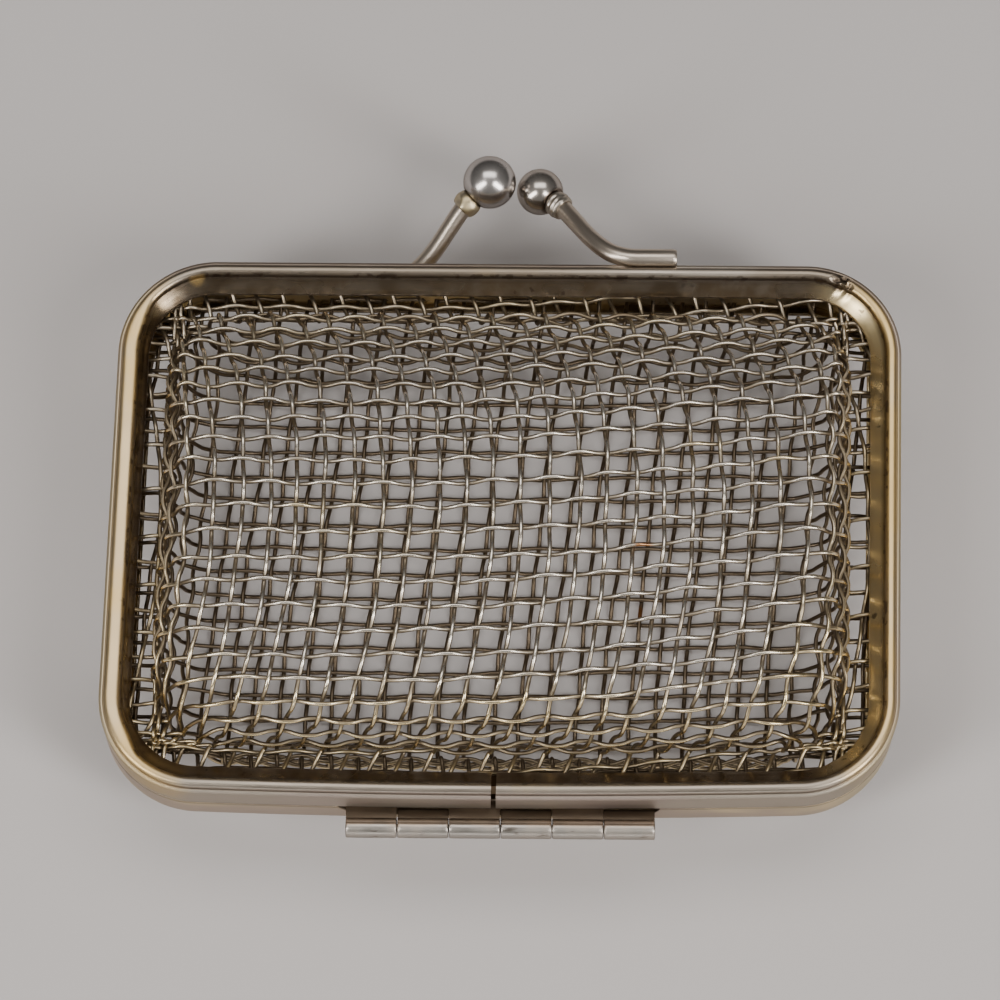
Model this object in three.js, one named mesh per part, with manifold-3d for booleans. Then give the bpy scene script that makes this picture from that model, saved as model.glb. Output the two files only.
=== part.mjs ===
// A hinged metal mesh coin purse: two formed metal frames, each with a pressed wire net tray, a knuckle
// hinge along one long side and a kiss-lock clasp of two balls on the other. It lies shut on its back tray.
// Millimetres, +Z up, +X to the right, +Y from the hinge side to the clasp side. The origin is the middle
// of the flat face that it lies on.
import * as THREE from "three";
import { mergeVertices } from "three/addons/utils/BufferGeometryUtils.js";
import Module from "manifold-3d";

// Purse
const frameWidth = 80;
const frameHeight = 55.8;
const halfDepth = 12.5;
const clearance = 0.3;

// How the purse is bent out of square: the clasp side stands to the right, and the hinge side bows out
const claspSideLean = 1.25;
const hingeSideBow = 0.8;

// Frame strip: outer wall, rounded bead on top, and a lip that slopes down to the net
const frameCornerRadius = 9.8;
const wallThickness = 0.75;
const shoulderHeight = 4.1;
const shoulderRound = 0.15;
const beadInset = 1.0;
const beadRadius = 0.6;
const lipReach = 3.05;
const lipDrop = 1.25;
const lipThickness = 0.7;
const buttJointGap = 0.5;
const buttJointOffset = -0.1;

// Pressed net tray
const trayThickness = 1.1;
const trayShelf = 1.55;
const trayWallRun = 5.0;
const trayFootRadius = 7.5;
const trayFaceRadius = 11;
const claspSlopeRun = 22;
const flangeThickness = 0.9;
const netBar = 1.2;
const netColumns = 10;
const netRows = 6;
const netMargin = 2.0;

// Hinge
const hingeReach = 2.0;
const hingeOffset = 0.4;
const knuckleRadius = 1.0;
const knuckleLength = 5.15;
const knuckleCount = 6;
const knuckleGap = 0.25;
const pinRadius = 0.4;
const pinClearance = 0.2;
const leafThickness = 0.5;
const leafDrop = 3.4;
const notchDepth = 2.6;

// Clasp
const claspOffset = 0.2;
const armRadius = 0.95;
const armStandOff = 0.6;
const armHeight = 4.2;
const armEndX = 16.65;
const frontArmBendX = 12.4;
const backArmBendX = 13.9;
const frontBallRadius = 2.42;
const backBallRadius = 2.75;
const ballPassingGap = 0.1;
const frontBallReach = 9.85;
const backBallReach = 10.1;
const ballDrop = 1.0;
const collarRadius = 1.5;
const collarLength = 1.3;
const socketClearance = 0.15;

// Fineness of the curves
const cornerSteps = 7;
const hingeSideSteps = 4;
const beadSteps = 5;
const knuckleSides = 16;
const armSides = 10;
const armSteps = 15;
const ballSides = 16;
const ballRings = 10;
const mergeDistance = 1e-4;

// Height shares of the tray wall against its inward shares, from its foot to the flat face
const trayWallShape = [
  { inward: 0, up: 0 },
  { inward: 0.04, up: 0.3 },
  { inward: 0.12, up: 0.55 },
  { inward: 0.28, up: 0.78 },
  { inward: 0.56, up: 0.94 },
  { inward: 1, up: 1 },
];

// The front net is pressed in towards the clasp: its height shares against the shares of the way in from
// its clasp-side foot
const claspSlopeShape = [
  { inward: 0, up: 0.08 },
  { inward: 0.06, up: 0.17 },
  { inward: 0.14, up: 0.28 },
  { inward: 0.3, up: 0.49 },
  { inward: 0.55, up: 0.78 },
  { inward: 0.74, up: 0.9 },
  { inward: 1, up: 1 },
];

// How far in from the wall's top the rings of the sloping face lie, as shares of the way to its middle
const faceRingShares = [0.5, 0.8];

// The run of a clasp arm: how far along the way from its straight foot to its ball each point lies
const armShape = [
  { along: 0, outward: 0, down: 0 },
  { along: 0.12, outward: 0.02, down: 0.02 },
  { along: 0.25, outward: 0.075, down: 0.07 },
  { along: 0.38, outward: 0.19, down: 0.18 },
  { along: 0.51, outward: 0.36, down: 0.35 },
  { along: 0.63, outward: 0.55, down: 0.55 },
  { along: 0.77, outward: 0.76, down: 0.77 },
  { along: 1, outward: 1, down: 1 },
];

const silver = { color: 0xb5aa9a, roughness: 0.34, metalness: 1 };
const nickel = { color: 0xa29d97, roughness: 0.16, metalness: 1 };
const wire = { color: 0x9c907c, roughness: 0.38, metalness: 1 };
const steel = { color: 0x8d8a86, roughness: 0.4, metalness: 1 };

const footInset = lipReach + clearance + trayShelf;
const slopeFootInset = lipReach + clearance;
const lipUnderside = shoulderHeight - lipDrop - lipThickness;
const flangeTop = lipUnderside - clearance;
const flangeBottom = flangeTop - flangeThickness;
const flangeInset = wallThickness + clearance;
const frameEdge = clearance / 2;
const hingeMiddleX = hingeOffset - claspSideLean / 2;
const hingeLength = knuckleCount * knuckleLength;
const wallY = -(frameHeight / 2 + hingeSideBow);
const hingeY = wallY - hingeReach;
const ballSpacing = frontBallRadius + backBallRadius + ballPassingGap;

const wasm = await Module();
wasm.setup();

// Solids

function solidOf(geometry) {
  const loose = geometry.index ? geometry.toNonIndexed() : geometry;
  const bare = new THREE.BufferGeometry();
  bare.setAttribute("position", loose.getAttribute("position"));
  const merged = mergeVertices(bare, mergeDistance);
  return new wasm.Manifold(
    new wasm.Mesh({
      numProp: 3,
      vertProperties: merged.attributes.position.array,
      triVerts: new Uint32Array(merged.index.array),
    }),
  );
}

function geometryOf(solid) {
  const mesh = solid.getMesh();
  const geometry = new THREE.BufferGeometry();
  const positions = new Float32Array(mesh.vertProperties);
  geometry.setAttribute("position", new THREE.BufferAttribute(positions, 3));
  geometry.setIndex(
    new THREE.BufferAttribute(new Uint32Array(mesh.triVerts), 1),
  );
  geometry.computeVertexNormals();
  return geometry;
}

function block(low, high) {
  const size = high.clone().sub(low);
  const geometry = new THREE.BoxGeometry(size.x, size.y, size.z);
  geometry.translate(
    (low.x + high.x) / 2,
    (low.y + high.y) / 2,
    (low.z + high.z) / 2,
  );
  return solidOf(geometry);
}

function rod(radius, fromX, toX) {
  const geometry = new THREE.CylinderGeometry(
    radius,
    radius,
    toX - fromX,
    knuckleSides,
  );
  geometry.rotateZ(Math.PI / 2);
  geometry.translate((fromX + toX) / 2, hingeY, 0);
  return solidOf(geometry);
}

// Outlines

// Moves a point of the square-cut purse to where the bent one has it.
function bend(x, y, half) {
  const fromClasp = (frameHeight / 2 - y) / frameHeight;
  const fromMiddle = (2 * x) / frameWidth;
  return new THREE.Vector2(
    x + half.side * claspSideLean * (y / frameHeight),
    y - hingeSideBow * (1 - fromMiddle * fromMiddle) * fromClasp,
  );
}

// A rounded outline at an inset from the outside of the frame. It starts right of the middle of the hinge
// side and runs round to the left of it, always with the same number of points, so that outlines join
// point to point.
function outline(inset, cornerRadius, half) {
  const right = frameWidth / 2 - inset;
  const top = frameHeight / 2 - inset;
  const cornerX = right - cornerRadius;
  const cornerY = top - cornerRadius;
  const jointX = half.side * (hingeMiddleX + buttJointOffset);
  const startX = jointX + buttJointGap / 2;
  const endX = jointX - buttJointGap / 2;
  const points = [];
  for (let step = 0; step < hingeSideSteps; step++) {
    const x = THREE.MathUtils.lerp(startX, cornerX, step / hingeSideSteps);
    points.push(bend(x, -top, half));
  }
  const corners = [
    { x: cornerX, y: -cornerY, from: -Math.PI / 2 },
    { x: cornerX, y: cornerY, from: 0 },
    { x: -cornerX, y: cornerY, from: Math.PI / 2 },
    { x: -cornerX, y: -cornerY, from: Math.PI },
  ];
  for (const corner of corners) {
    for (let step = 0; step <= cornerSteps; step++) {
      const angle = corner.from + ((Math.PI / 2) * step) / cornerSteps;
      const x = corner.x + cornerRadius * Math.cos(angle);
      const y = corner.y + cornerRadius * Math.sin(angle);
      points.push(bend(x, y, half));
    }
  }
  for (let step = 1; step <= hingeSideSteps; step++) {
    const x = THREE.MathUtils.lerp(-cornerX, endX, step / hingeSideSteps);
    points.push(bend(x, -top, half));
  }
  return points;
}

function ringAt(inset, height, cornerRadius, half) {
  return outline(inset, cornerRadius, half).map(
    (point) => new THREE.Vector3(point.x, point.y, height),
  );
}

// Triangles between each outline and the next, point to point.
function skin(rings, ringsClose, loopsClose) {
  const corners = [];
  const ringPairs = ringsClose ? rings.length : rings.length - 1;
  const stations = rings[0].length;
  const strips = loopsClose ? stations : stations - 1;
  for (let row = 0; row < ringPairs; row++) {
    const near = rings[row];
    const far = rings[(row + 1) % rings.length];
    for (let step = 0; step < strips; step++) {
      const next = (step + 1) % stations;
      corners.push(near[step], near[next], far[next]);
      corners.push(near[step], far[next], far[step]);
    }
  }
  return corners;
}

// Triangles that fill a flat outline, facing up or along the outline's normal, or the other way.
function cap(ring, flat, facingUp) {
  const triangles = THREE.ShapeUtils.triangulateShape(flat, []);
  return triangles.flatMap(([a, b, c]) => {
    const ab = flat[b].clone().sub(flat[a]);
    const ac = flat[c].clone().sub(flat[a]);
    const keep = ab.cross(ac) > 0 === facingUp;
    return keep ? [ring[a], ring[b], ring[c]] : [ring[a], ring[c], ring[b]];
  });
}

function solidOfCorners(corners) {
  const geometry = new THREE.BufferGeometry().setFromPoints(corners);
  return solidOf(geometry);
}

// Frame strip

// The strip's section: x is the inset from the outside of the frame, y the height above the seam.
function frameSection() {
  const lipTop = shoulderHeight - lipDrop;
  const webUnderside = shoulderHeight - lipThickness;
  const points = [
    new THREE.Vector2(0, frameEdge),
    new THREE.Vector2(0, shoulderHeight - shoulderRound),
    new THREE.Vector2(shoulderRound, shoulderHeight),
  ];
  for (let step = 0; step <= beadSteps; step++) {
    const angle = Math.PI * (1 - step / beadSteps);
    points.push(
      new THREE.Vector2(
        beadInset + beadRadius * Math.cos(angle),
        shoulderHeight + beadRadius * Math.sin(angle),
      ),
    );
  }
  points.push(
    new THREE.Vector2(lipReach, lipTop),
    new THREE.Vector2(lipReach, lipUnderside),
    new THREE.Vector2(beadInset + beadRadius, webUnderside),
    new THREE.Vector2(wallThickness, webUnderside),
    new THREE.Vector2(wallThickness, frameEdge),
  );
  return points;
}

function frameStrip(half) {
  const section = frameSection();
  const rings = section.map((point) =>
    ringAt(point.x, point.y, frameCornerRadius - point.x, half),
  );
  const corners = skin(rings, true, !half.hasButtJoint);
  if (half.hasButtJoint) {
    const first = rings.map((ring) => ring[0]);
    const last = rings.map((ring) => ring[ring.length - 1]);
    corners.push(...cap(first, section, false), ...cap(last, section, true));
  }
  return solidOfCorners(corners);
}

// Hinge

// The three knuckle places of one half, as lengths along X. The turned half has the other three.
function knuckleSpans(half) {
  const spans = [];
  const startX = half.side * hingeMiddleX - hingeLength / 2;
  for (let place = 0; place < knuckleCount; place += 2) {
    const from = startX + place * knuckleLength;
    const to = from + knuckleLength;
    spans.push({ from: from + knuckleGap / 2, to: to - knuckleGap / 2 });
  }
  return spans;
}

// A leaf soldered behind the wall, which reaches out under its edge.
function innerLeaf(span) {
  const inside = wallY + wallThickness;
  const overlap = leafThickness / 4;
  const tongue = block(
    new THREE.Vector3(
      span.from,
      hingeY + pinRadius + pinClearance,
      -leafThickness / 2,
    ),
    new THREE.Vector3(span.to, inside + leafThickness, leafThickness / 2),
  );
  const riser = block(
    new THREE.Vector3(span.from, inside - overlap, -leafThickness / 2),
    new THREE.Vector3(
      span.to,
      inside + leafThickness,
      flangeBottom - clearance,
    ),
  );
  return tongue.add(riser);
}

// A leaf soldered on the outside of the wall, over the notch.
function outerLeaf(span) {
  const overlap = wallThickness / 2;
  const tongue = block(
    new THREE.Vector3(span.from, hingeY + pinRadius + pinClearance, frameEdge),
    new THREE.Vector3(span.to, wallY + overlap, frameEdge + leafThickness),
  );
  const plate = block(
    new THREE.Vector3(span.from, wallY - leafThickness, frameEdge),
    new THREE.Vector3(span.to, wallY + overlap, leafDrop),
  );
  return tongue.add(plate);
}

function notch(half) {
  const reach = hingeLength / 2 + clearance;
  const middle = half.side * hingeMiddleX;
  return block(
    new THREE.Vector3(middle - reach, wallY - clearance, 0),
    new THREE.Vector3(
      middle + reach,
      wallY + wallThickness + clearance,
      notchDepth,
    ),
  );
}

function addHinge(solid, half) {
  let made = solid;
  for (const span of knuckleSpans(half)) {
    const leaf = half.leafIsInside ? innerLeaf(span) : outerLeaf(span);
    made = made.add(leaf).add(rod(knuckleRadius, span.from, span.to));
  }
  const boreRadius = pinRadius + pinClearance;
  return made.subtract(rod(boreRadius, -hingeLength, hingeLength));
}

// Clasp

function claspMiddle(half) {
  return half.side * (claspSideLean / 2 + claspOffset);
}

function ballPlace(half) {
  return new THREE.Vector3(
    claspMiddle(half) + ballSpacing / 2,
    frameHeight / 2 + half.ballReach,
    -ballDrop,
  );
}

function armCurve(half) {
  const ball = ballPlace(half);
  const foot = new THREE.Vector3(
    claspMiddle(half) + half.armBendX,
    frameHeight / 2 + armStandOff,
    armHeight,
  );
  const end = new THREE.Vector3(claspMiddle(half) + armEndX, foot.y, foot.z);
  const points = [end, end.clone().lerp(foot, 0.5)];
  for (const place of armShape) {
    points.push(
      new THREE.Vector3(
        THREE.MathUtils.lerp(foot.x, ball.x, place.along),
        THREE.MathUtils.lerp(foot.y, ball.y, place.outward),
        THREE.MathUtils.lerp(foot.z, ball.z, place.down),
      ),
    );
  }
  const tip = points.pop();
  const before = points[points.length - 1];
  const way = tip.clone().sub(before).normalize();
  points.push(tip.clone().addScaledVector(way, -clearance * 2));
  return { curve: new THREE.CatmullRomCurve3(points), way };
}

function claspArm(half) {
  const section = new THREE.Shape();
  section.absarc(0, 0, armRadius, 0, Math.PI * 2, false);
  const geometry = new THREE.ExtrudeGeometry(section, {
    steps: armSteps,
    curveSegments: armSides / 2,
    bevelEnabled: false,
    extrudePath: armCurve(half).curve,
  });
  return solidOf(geometry);
}

// A ball with a collar, drilled for the end of its arm. Its axis is Y, with the collar at the low end.
function ballGeometry(radius) {
  const socketRadius = armRadius + socketClearance;
  const socketTop = -clearance;
  const collarEnd = -(radius + collarLength);
  const collarAngle = Math.asin(collarRadius / radius);
  const points = [
    new THREE.Vector2(0, socketTop),
    new THREE.Vector2(socketRadius, socketTop),
    new THREE.Vector2(socketRadius, collarEnd),
    new THREE.Vector2(collarRadius, collarEnd),
  ];
  for (let step = 0; step <= ballRings; step++) {
    const angle = THREE.MathUtils.lerp(collarAngle, Math.PI, step / ballRings);
    const x = step === ballRings ? 0 : radius * Math.sin(angle);
    points.push(new THREE.Vector2(x, -radius * Math.cos(angle)));
  }
  return new THREE.LatheGeometry(points, ballSides);
}

// Net tray

// The rings of the outer side of a tray, from the foot of its wall: each with its inset, height and corner.
function trayRings(half) {
  const rise = halfDepth - flangeTop;
  const rings = trayWallShape.map((place) => ({
    inset: footInset + trayWallRun * place.inward,
    height: flangeTop + rise * place.up,
    radius: THREE.MathUtils.lerp(trayFootRadius, trayFaceRadius, place.inward),
  }));
  if (!half.hasClaspSlope) return rings;
  const faceInset = footInset + trayWallRun;
  const toMiddle = frameHeight / 2 - faceInset;
  const faceRings = faceRingShares.map((share) => ({
    inset: faceInset + toMiddle * share,
    height: halfDepth,
    radius: trayFaceRadius * (1 - share),
  }));
  return [...rings, ...faceRings];
}

// The height that the pressed-in front net has at a distance from the clasp side.
function slopeHeight(y) {
  const inward = (frameHeight / 2 - y - slopeFootInset) / claspSlopeRun;
  const rise = halfDepth - flangeTop;
  const next = claspSlopeShape.findIndex((place) => place.inward > inward);
  if (next === -1) return halfDepth;
  const far = claspSlopeShape[Math.max(next, 1)];
  const near = claspSlopeShape[Math.max(next, 1) - 1];
  const share = (inward - near.inward) / (far.inward - near.inward);
  return flangeTop + rise * THREE.MathUtils.lerp(near.up, far.up, share);
}

// One side of a tray: its outer rings, or the same rings moved in by the net's thickness.
function traySide(half, shift) {
  return trayRings(half).map((ring) => {
    const points = ringAt(
      ring.inset + shift,
      ring.height - shift,
      ring.radius,
      half,
    );
    if (!half.hasClaspSlope) return points;
    return points.map((point) =>
      point.setZ(Math.min(point.z, slopeHeight(point.y) - shift)),
    );
  });
}

function trayShell(half) {
  const outer = traySide(half, 0);
  const inner = traySide(half, trayThickness).slice(1);
  const flangeRadius = frameCornerRadius - flangeInset;
  const rings = [
    ...inner.reverse(),
    ringAt(footInset + trayThickness, flangeBottom, trayFootRadius, half),
    ringAt(flangeInset, flangeBottom, flangeRadius, half),
    ringAt(flangeInset, flangeTop, flangeRadius, half),
    ...outer,
  ];
  const flatOf = (ring) => ring.map((at) => new THREE.Vector2(at.x, at.y));
  const inside = rings[0];
  const outside = rings[rings.length - 1];
  return solidOfCorners([
    ...skin(rings, false, true),
    ...cap(inside, flatOf(inside), false),
    ...cap(outside, flatOf(outside), true),
  ]);
}

// The square gaps of the net, in rows and columns over the face and the upper part of the walls.
function netGaps() {
  const reachX = frameWidth / 2 - footInset - netMargin;
  const reachY = frameHeight / 2 - footInset - netMargin;
  const pitchX = (2 * reachX) / netColumns;
  const pitchY = (2 * reachY) / netRows;
  const gaps = [];
  for (let column = 0; column < netColumns; column++) {
    for (let row = 0; row < netRows; row++) {
      const atSide = column === 0 || column === netColumns - 1;
      const atEnd = row === 0 || row === netRows - 1;
      if (atSide && atEnd) continue;
      const x = -reachX + pitchX * (column + 0.5);
      const y = -reachY + pitchY * (row + 0.5);
      const halfX = (pitchX - netBar) / 2;
      const halfY = (pitchY - netBar) / 2;
      gaps.push(
        block(
          new THREE.Vector3(x - halfX, y - halfY, flangeTop + clearance),
          new THREE.Vector3(x + halfX, y + halfY, halfDepth + clearance),
        ),
      );
    }
  }
  return gaps;
}

function netTray(half) {
  return netGaps().reduce((net, gap) => net.subtract(gap), trayShell(half));
}

// Assembly. Each half is drawn with its seam at z = 0 and its face up, and the back half is turned over.

function named(name, geometry, finish) {
  const mesh = new THREE.Mesh(geometry, new THREE.MeshStandardMaterial(finish));
  mesh.name = name;
  return mesh;
}

function makeHalf(half) {
  const group = new THREE.Group();
  let strip = frameStrip(half);
  if (half.hasNotch) strip = strip.subtract(notch(half));
  const frame = addHinge(strip, half).add(claspArm(half));
  group.add(named(half.name + "_frame", geometryOf(frame), silver));
  group.add(named(half.name + "_mesh_tray", geometryOf(netTray(half)), wire));

  const ball = named(
    half.name + "_clasp_ball",
    ballGeometry(half.ballRadius),
    nickel,
  );
  ball.position.copy(ballPlace(half));
  ball.quaternion.setFromUnitVectors(
    new THREE.Vector3(0, 1, 0),
    armCurve(half).way,
  );
  group.add(ball);
  return group;
}

const purse = new THREE.Group();

const frontHalf = makeHalf({
  name: "front",
  side: 1,
  hasButtJoint: true,
  hasClaspSlope: true,
  hasNotch: false,
  leafIsInside: true,
  ballRadius: frontBallRadius,
  ballReach: frontBallReach,
  armBendX: frontArmBendX,
});
frontHalf.position.z = halfDepth;
purse.add(frontHalf);

const backHalf = makeHalf({
  name: "back",
  side: -1,
  hasButtJoint: false,
  hasClaspSlope: false,
  hasNotch: true,
  leafIsInside: false,
  ballRadius: backBallRadius,
  ballReach: backBallReach,
  armBendX: backArmBendX,
});
backHalf.rotation.y = Math.PI;
backHalf.position.z = halfDepth;
purse.add(backHalf);

const pin = named(
  "hinge_pin",
  new THREE.CylinderGeometry(pinRadius, pinRadius, hingeLength, knuckleSides),
  steel,
);
pin.rotation.z = Math.PI / 2;
pin.position.set(hingeMiddleX, hingeY, halfDepth);
purse.add(pin);

export default purse;
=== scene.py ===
"""The looks of a hinged metal mesh coin purse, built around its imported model.

The classes hold their sizes in millimetres, in the model's own frame, and every mesh is made in metres.
Points are kept in numpy arrays with one row for each point.
"""

from __future__ import annotations

import logging
import math
from dataclasses import dataclass, field
from enum import Enum

import bpy
import numpy as np
from mathutils import Matrix, Vector, noise


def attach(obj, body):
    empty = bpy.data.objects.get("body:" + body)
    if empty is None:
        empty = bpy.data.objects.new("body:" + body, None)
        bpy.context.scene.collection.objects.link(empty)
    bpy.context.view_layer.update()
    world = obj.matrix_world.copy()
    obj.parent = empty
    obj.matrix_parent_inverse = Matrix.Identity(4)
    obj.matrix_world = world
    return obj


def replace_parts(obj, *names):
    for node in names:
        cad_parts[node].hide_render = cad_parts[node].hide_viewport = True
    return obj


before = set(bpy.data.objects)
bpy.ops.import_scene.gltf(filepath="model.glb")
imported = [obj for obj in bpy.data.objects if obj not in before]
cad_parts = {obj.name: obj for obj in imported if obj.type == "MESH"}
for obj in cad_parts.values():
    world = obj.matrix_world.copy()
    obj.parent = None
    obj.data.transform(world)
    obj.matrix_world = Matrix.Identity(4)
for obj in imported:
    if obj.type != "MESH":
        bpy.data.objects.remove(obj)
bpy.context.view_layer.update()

MM = 0.001
LOG = logging.getLogger("purse")


class Half(Enum):
    """One half of the purse, and which way its net faces."""

    FRONT = 1
    BACK = -1

    @property
    def body(self) -> str:
        """The name of the body that the half's pieces ride on."""
        return self.name.lower()

    @property
    def frame_node(self) -> str:
        """The name of the half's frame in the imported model."""
        return f"{self.body}_frame"


class Slot(Enum):
    """The record's material slots."""

    FRAME = "frame_metal"
    WIRE = "wire_mesh"
    BALL = "polished_ball"
    PIN = "pin_steel"


@dataclass(frozen=True)
class PurseForm:
    """The sizes that the pieces share."""

    width: float = 80.0
    height: float = 55.8
    half_depth: float = 12.5
    lean: float = 1.25
    bow: float = 0.8
    corner_radius: float = 9.8
    wall: float = 0.75
    edge: float = 0.15
    flange_top: float = 1.85
    hinge_reach: float = 2.0
    hinge_offset: float = 0.4
    knuckle_length: float = 5.15
    knuckle_count: int = 6

    @property
    def hinge_length(self) -> float:
        """The length of the row of knuckles."""
        return self.knuckle_count * self.knuckle_length

    @property
    def hinge_middle(self) -> float:
        """X of the middle of the row of knuckles."""
        return self.hinge_offset - self.lean / 2

    @property
    def wall_y(self) -> float:
        """Y of the outside of the hinge-side wall at its middle."""
        return -(self.height / 2 + self.bow)

    @property
    def hinge_y(self) -> float:
        """Y of the hinge's axis."""
        return self.wall_y - self.hinge_reach

    def bend(self, points: np.ndarray) -> np.ndarray:
        """Moves points of the square-cut purse to where the bent one has them.

        Args:
            points: Plan points, with x and y in the last axis.

        Returns:
            The points with the lean to the right and the bow of the hinge side.
        """
        x, y = points[..., 0], points[..., 1]
        from_clasp = (self.height / 2 - y) / self.height
        from_middle = 2 * x / self.width
        moved_x = x + self.lean * y / self.height
        moved_y = y - self.bow * (1 - from_middle**2) * from_clasp
        return np.stack([moved_x, moved_y], axis=-1)

    def world(self, plan: np.ndarray, lift: np.ndarray, half: Half) -> np.ndarray:
        """Places plan points at a height above the seam of one half.

        Args:
            plan: Bent plan points.
            lift: Heights above the seam, away from the other half.
            half: The half that they belong to.

        Returns:
            Points in the model's frame, in millimetres.
        """
        z = self.half_depth + half.value * lift
        return np.concatenate([plan, z[..., None]], axis=-1)


FORM = PurseForm()


def ramp(value: np.ndarray, low: float, high: float) -> np.ndarray:
    """A smooth step from 0 at low to 1 at high.

    Args:
        value: The values to grade.
        low: Where the step starts.
        high: Where the step ends.

    Returns:
        The graded values, between 0 and 1.
    """
    share = np.clip((value - low) / (high - low), 0, 1)
    return share * share * (3 - 2 * share)


def unit(vectors: np.ndarray) -> np.ndarray:
    """The vectors at length 1."""
    length = np.linalg.norm(vectors, axis=-1, keepdims=True)
    return vectors / np.maximum(length, 1e-12)


def evenly(points: np.ndarray, step: float, *extras: np.ndarray) -> list[np.ndarray]:
    """Spaces a path's points evenly along its length.

    Args:
        points: The path, one row for each point.
        step: The wanted length of a segment.
        extras: More arrays, one row for each point, to carry along.

    Returns:
        The new points, and each extra array at the new points.
    """
    run = np.concatenate([[0], np.cumsum(np.linalg.norm(np.diff(points, axis=0), axis=1))])
    count = max(2, round(run[-1] / step) + 1)
    places = np.linspace(0, run[-1], count)
    made = []
    for array in (points, *extras):
        columns = array.reshape(len(array), -1).T
        made.append(np.stack([np.interp(places, run, column) for column in columns], axis=1))
    return made


def softened(points: np.ndarray, passes: int) -> np.ndarray:
    """Rounds a path's kinks by averaging neighbours, and keeps its ends.

    Args:
        points: The path, one row for each point.
        passes: How often the neighbours are averaged.

    Returns:
        The rounded path.
    """
    soft = points.copy()
    for _ in range(passes):
        soft[1:-1] = (soft[:-2] + 2 * soft[1:-1] + soft[2:]) / 4
    return soft


@dataclass(frozen=True)
class Corner:
    """A corner of a section: its inset, its height above the seam and the radius that rounds it."""

    inset: float
    height: float
    radius: float


def rounded_section(corners: tuple[Corner, ...], arc_steps: int, longest: float) -> np.ndarray:
    """Draws a closed section with rounded corners.

    Args:
        corners: The corners, in order.
        arc_steps: Segments in each rounded corner.
        longest: The longest straight segment, in millimetres.

    Returns:
        The section's points, one row each of inset and height.
    """
    places = np.array([(corner.inset, corner.height) for corner in corners])
    drawn: list[np.ndarray] = []
    for index, corner in enumerate(corners):
        here = places[index]
        to_last = unit(places[index - 1] - here)
        to_next = unit(places[(index + 1) % len(corners)] - here)
        half_angle = math.acos(float(np.clip(to_last @ to_next, -1, 1))) / 2
        reach = corner.radius / math.tan(half_angle)
        centre = here + unit(to_last + to_next) * corner.radius / math.sin(half_angle)
        first = here + to_last * reach - centre
        last = here + to_next * reach - centre
        for share in np.linspace(0, 1, arc_steps + 1):
            way = unit(first * (1 - share) + last * share)
            drawn.append(centre + way * corner.radius)
    filled: list[np.ndarray] = []
    for index, point in enumerate(drawn):
        following = drawn[(index + 1) % len(drawn)]
        steps = max(1, math.ceil(float(np.linalg.norm(following - point)) / longest))
        filled.extend(point + (following - point) * share for share in np.arange(steps) / steps)
    return np.array(filled)


@dataclass
class MeshMaker:
    """Gathers quads, polygons and vertex values, and makes one object of them."""

    name: str
    points: list[np.ndarray] = field(default_factory=list)
    faces: list[tuple[int, ...]] = field(default_factory=list)
    values: dict[str, list[np.ndarray]] = field(default_factory=dict)
    count: int = 0

    def grid(self, points: np.ndarray, wrap_rows: bool, wrap_columns: bool, **values: np.ndarray) -> int:
        """Adds a skin over a grid of points.

        Args:
            points: An array of rows, columns and 3 coordinates, in millimetres.
            wrap_rows: Whether the last row joins the first.
            wrap_columns: Whether the last column joins the first.
            values: Arrays of rows and columns, kept as vertex attributes.

        Returns:
            The index of the grid's first vertex.
        """
        rows, columns = points.shape[:2]
        start = self.count
        index = start + np.arange(rows * columns).reshape(rows, columns)
        near = index if wrap_rows else index[:-1]
        far = np.roll(index, -1, axis=0) if wrap_rows else index[1:]
        left = near if wrap_columns else near[:, :-1]
        right = np.roll(near, -1, axis=1) if wrap_columns else near[:, 1:]
        far_left = far if wrap_columns else far[:, :-1]
        far_right = np.roll(far, -1, axis=1) if wrap_columns else far[:, 1:]
        quads = np.stack([left, right, far_right, far_left], axis=-1).reshape(-1, 4)
        self.faces.extend(map(tuple, quads.tolist()))
        self.points.append(points.reshape(-1, 3))
        for key, array in values.items():
            self.values.setdefault(key, []).append(array.reshape(-1))
        self.count += rows * columns
        return start

    def cap(self, start: int, count: int, facing_back: bool) -> None:
        """Closes a ring of vertices with one polygon."""
        ring = tuple(range(start, start + count))
        self.faces.append(ring[::-1] if facing_back else ring)

    def close_ends(self, columns: int) -> None:
        """Closes the first and the last column of the maker's only grid with a polygon each.

        Args:
            columns: The grid's number of columns.
        """
        first = tuple(range(0, self.count, columns))
        last = tuple(range(columns - 1, self.count, columns))
        self.faces += [first[::-1], last]

    def make(self, smooth_angle: float = 40.0) -> bpy.types.Object:
        """Makes the object, in metres, with smooth shading below an angle.

        Args:
            smooth_angle: Edges sharper than this many degrees stay crisp.

        Returns:
            The object, linked to the scene.
        """
        mesh = bpy.data.meshes.new(self.name)
        points = np.concatenate(self.points) * MM
        mesh.from_pydata(points.tolist(), [], self.faces)
        for key, arrays in self.values.items():
            layer = mesh.attributes.new(key, "FLOAT", "POINT")
            layer.data.foreach_set("value", np.concatenate(arrays).astype(np.float32))
        mesh.validate()
        mesh.shade_smooth()
        mesh.set_sharp_from_angle(angle=math.radians(smooth_angle))
        made = bpy.data.objects.new(self.name, mesh)
        bpy.context.scene.collection.objects.link(made)
        return made


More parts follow.
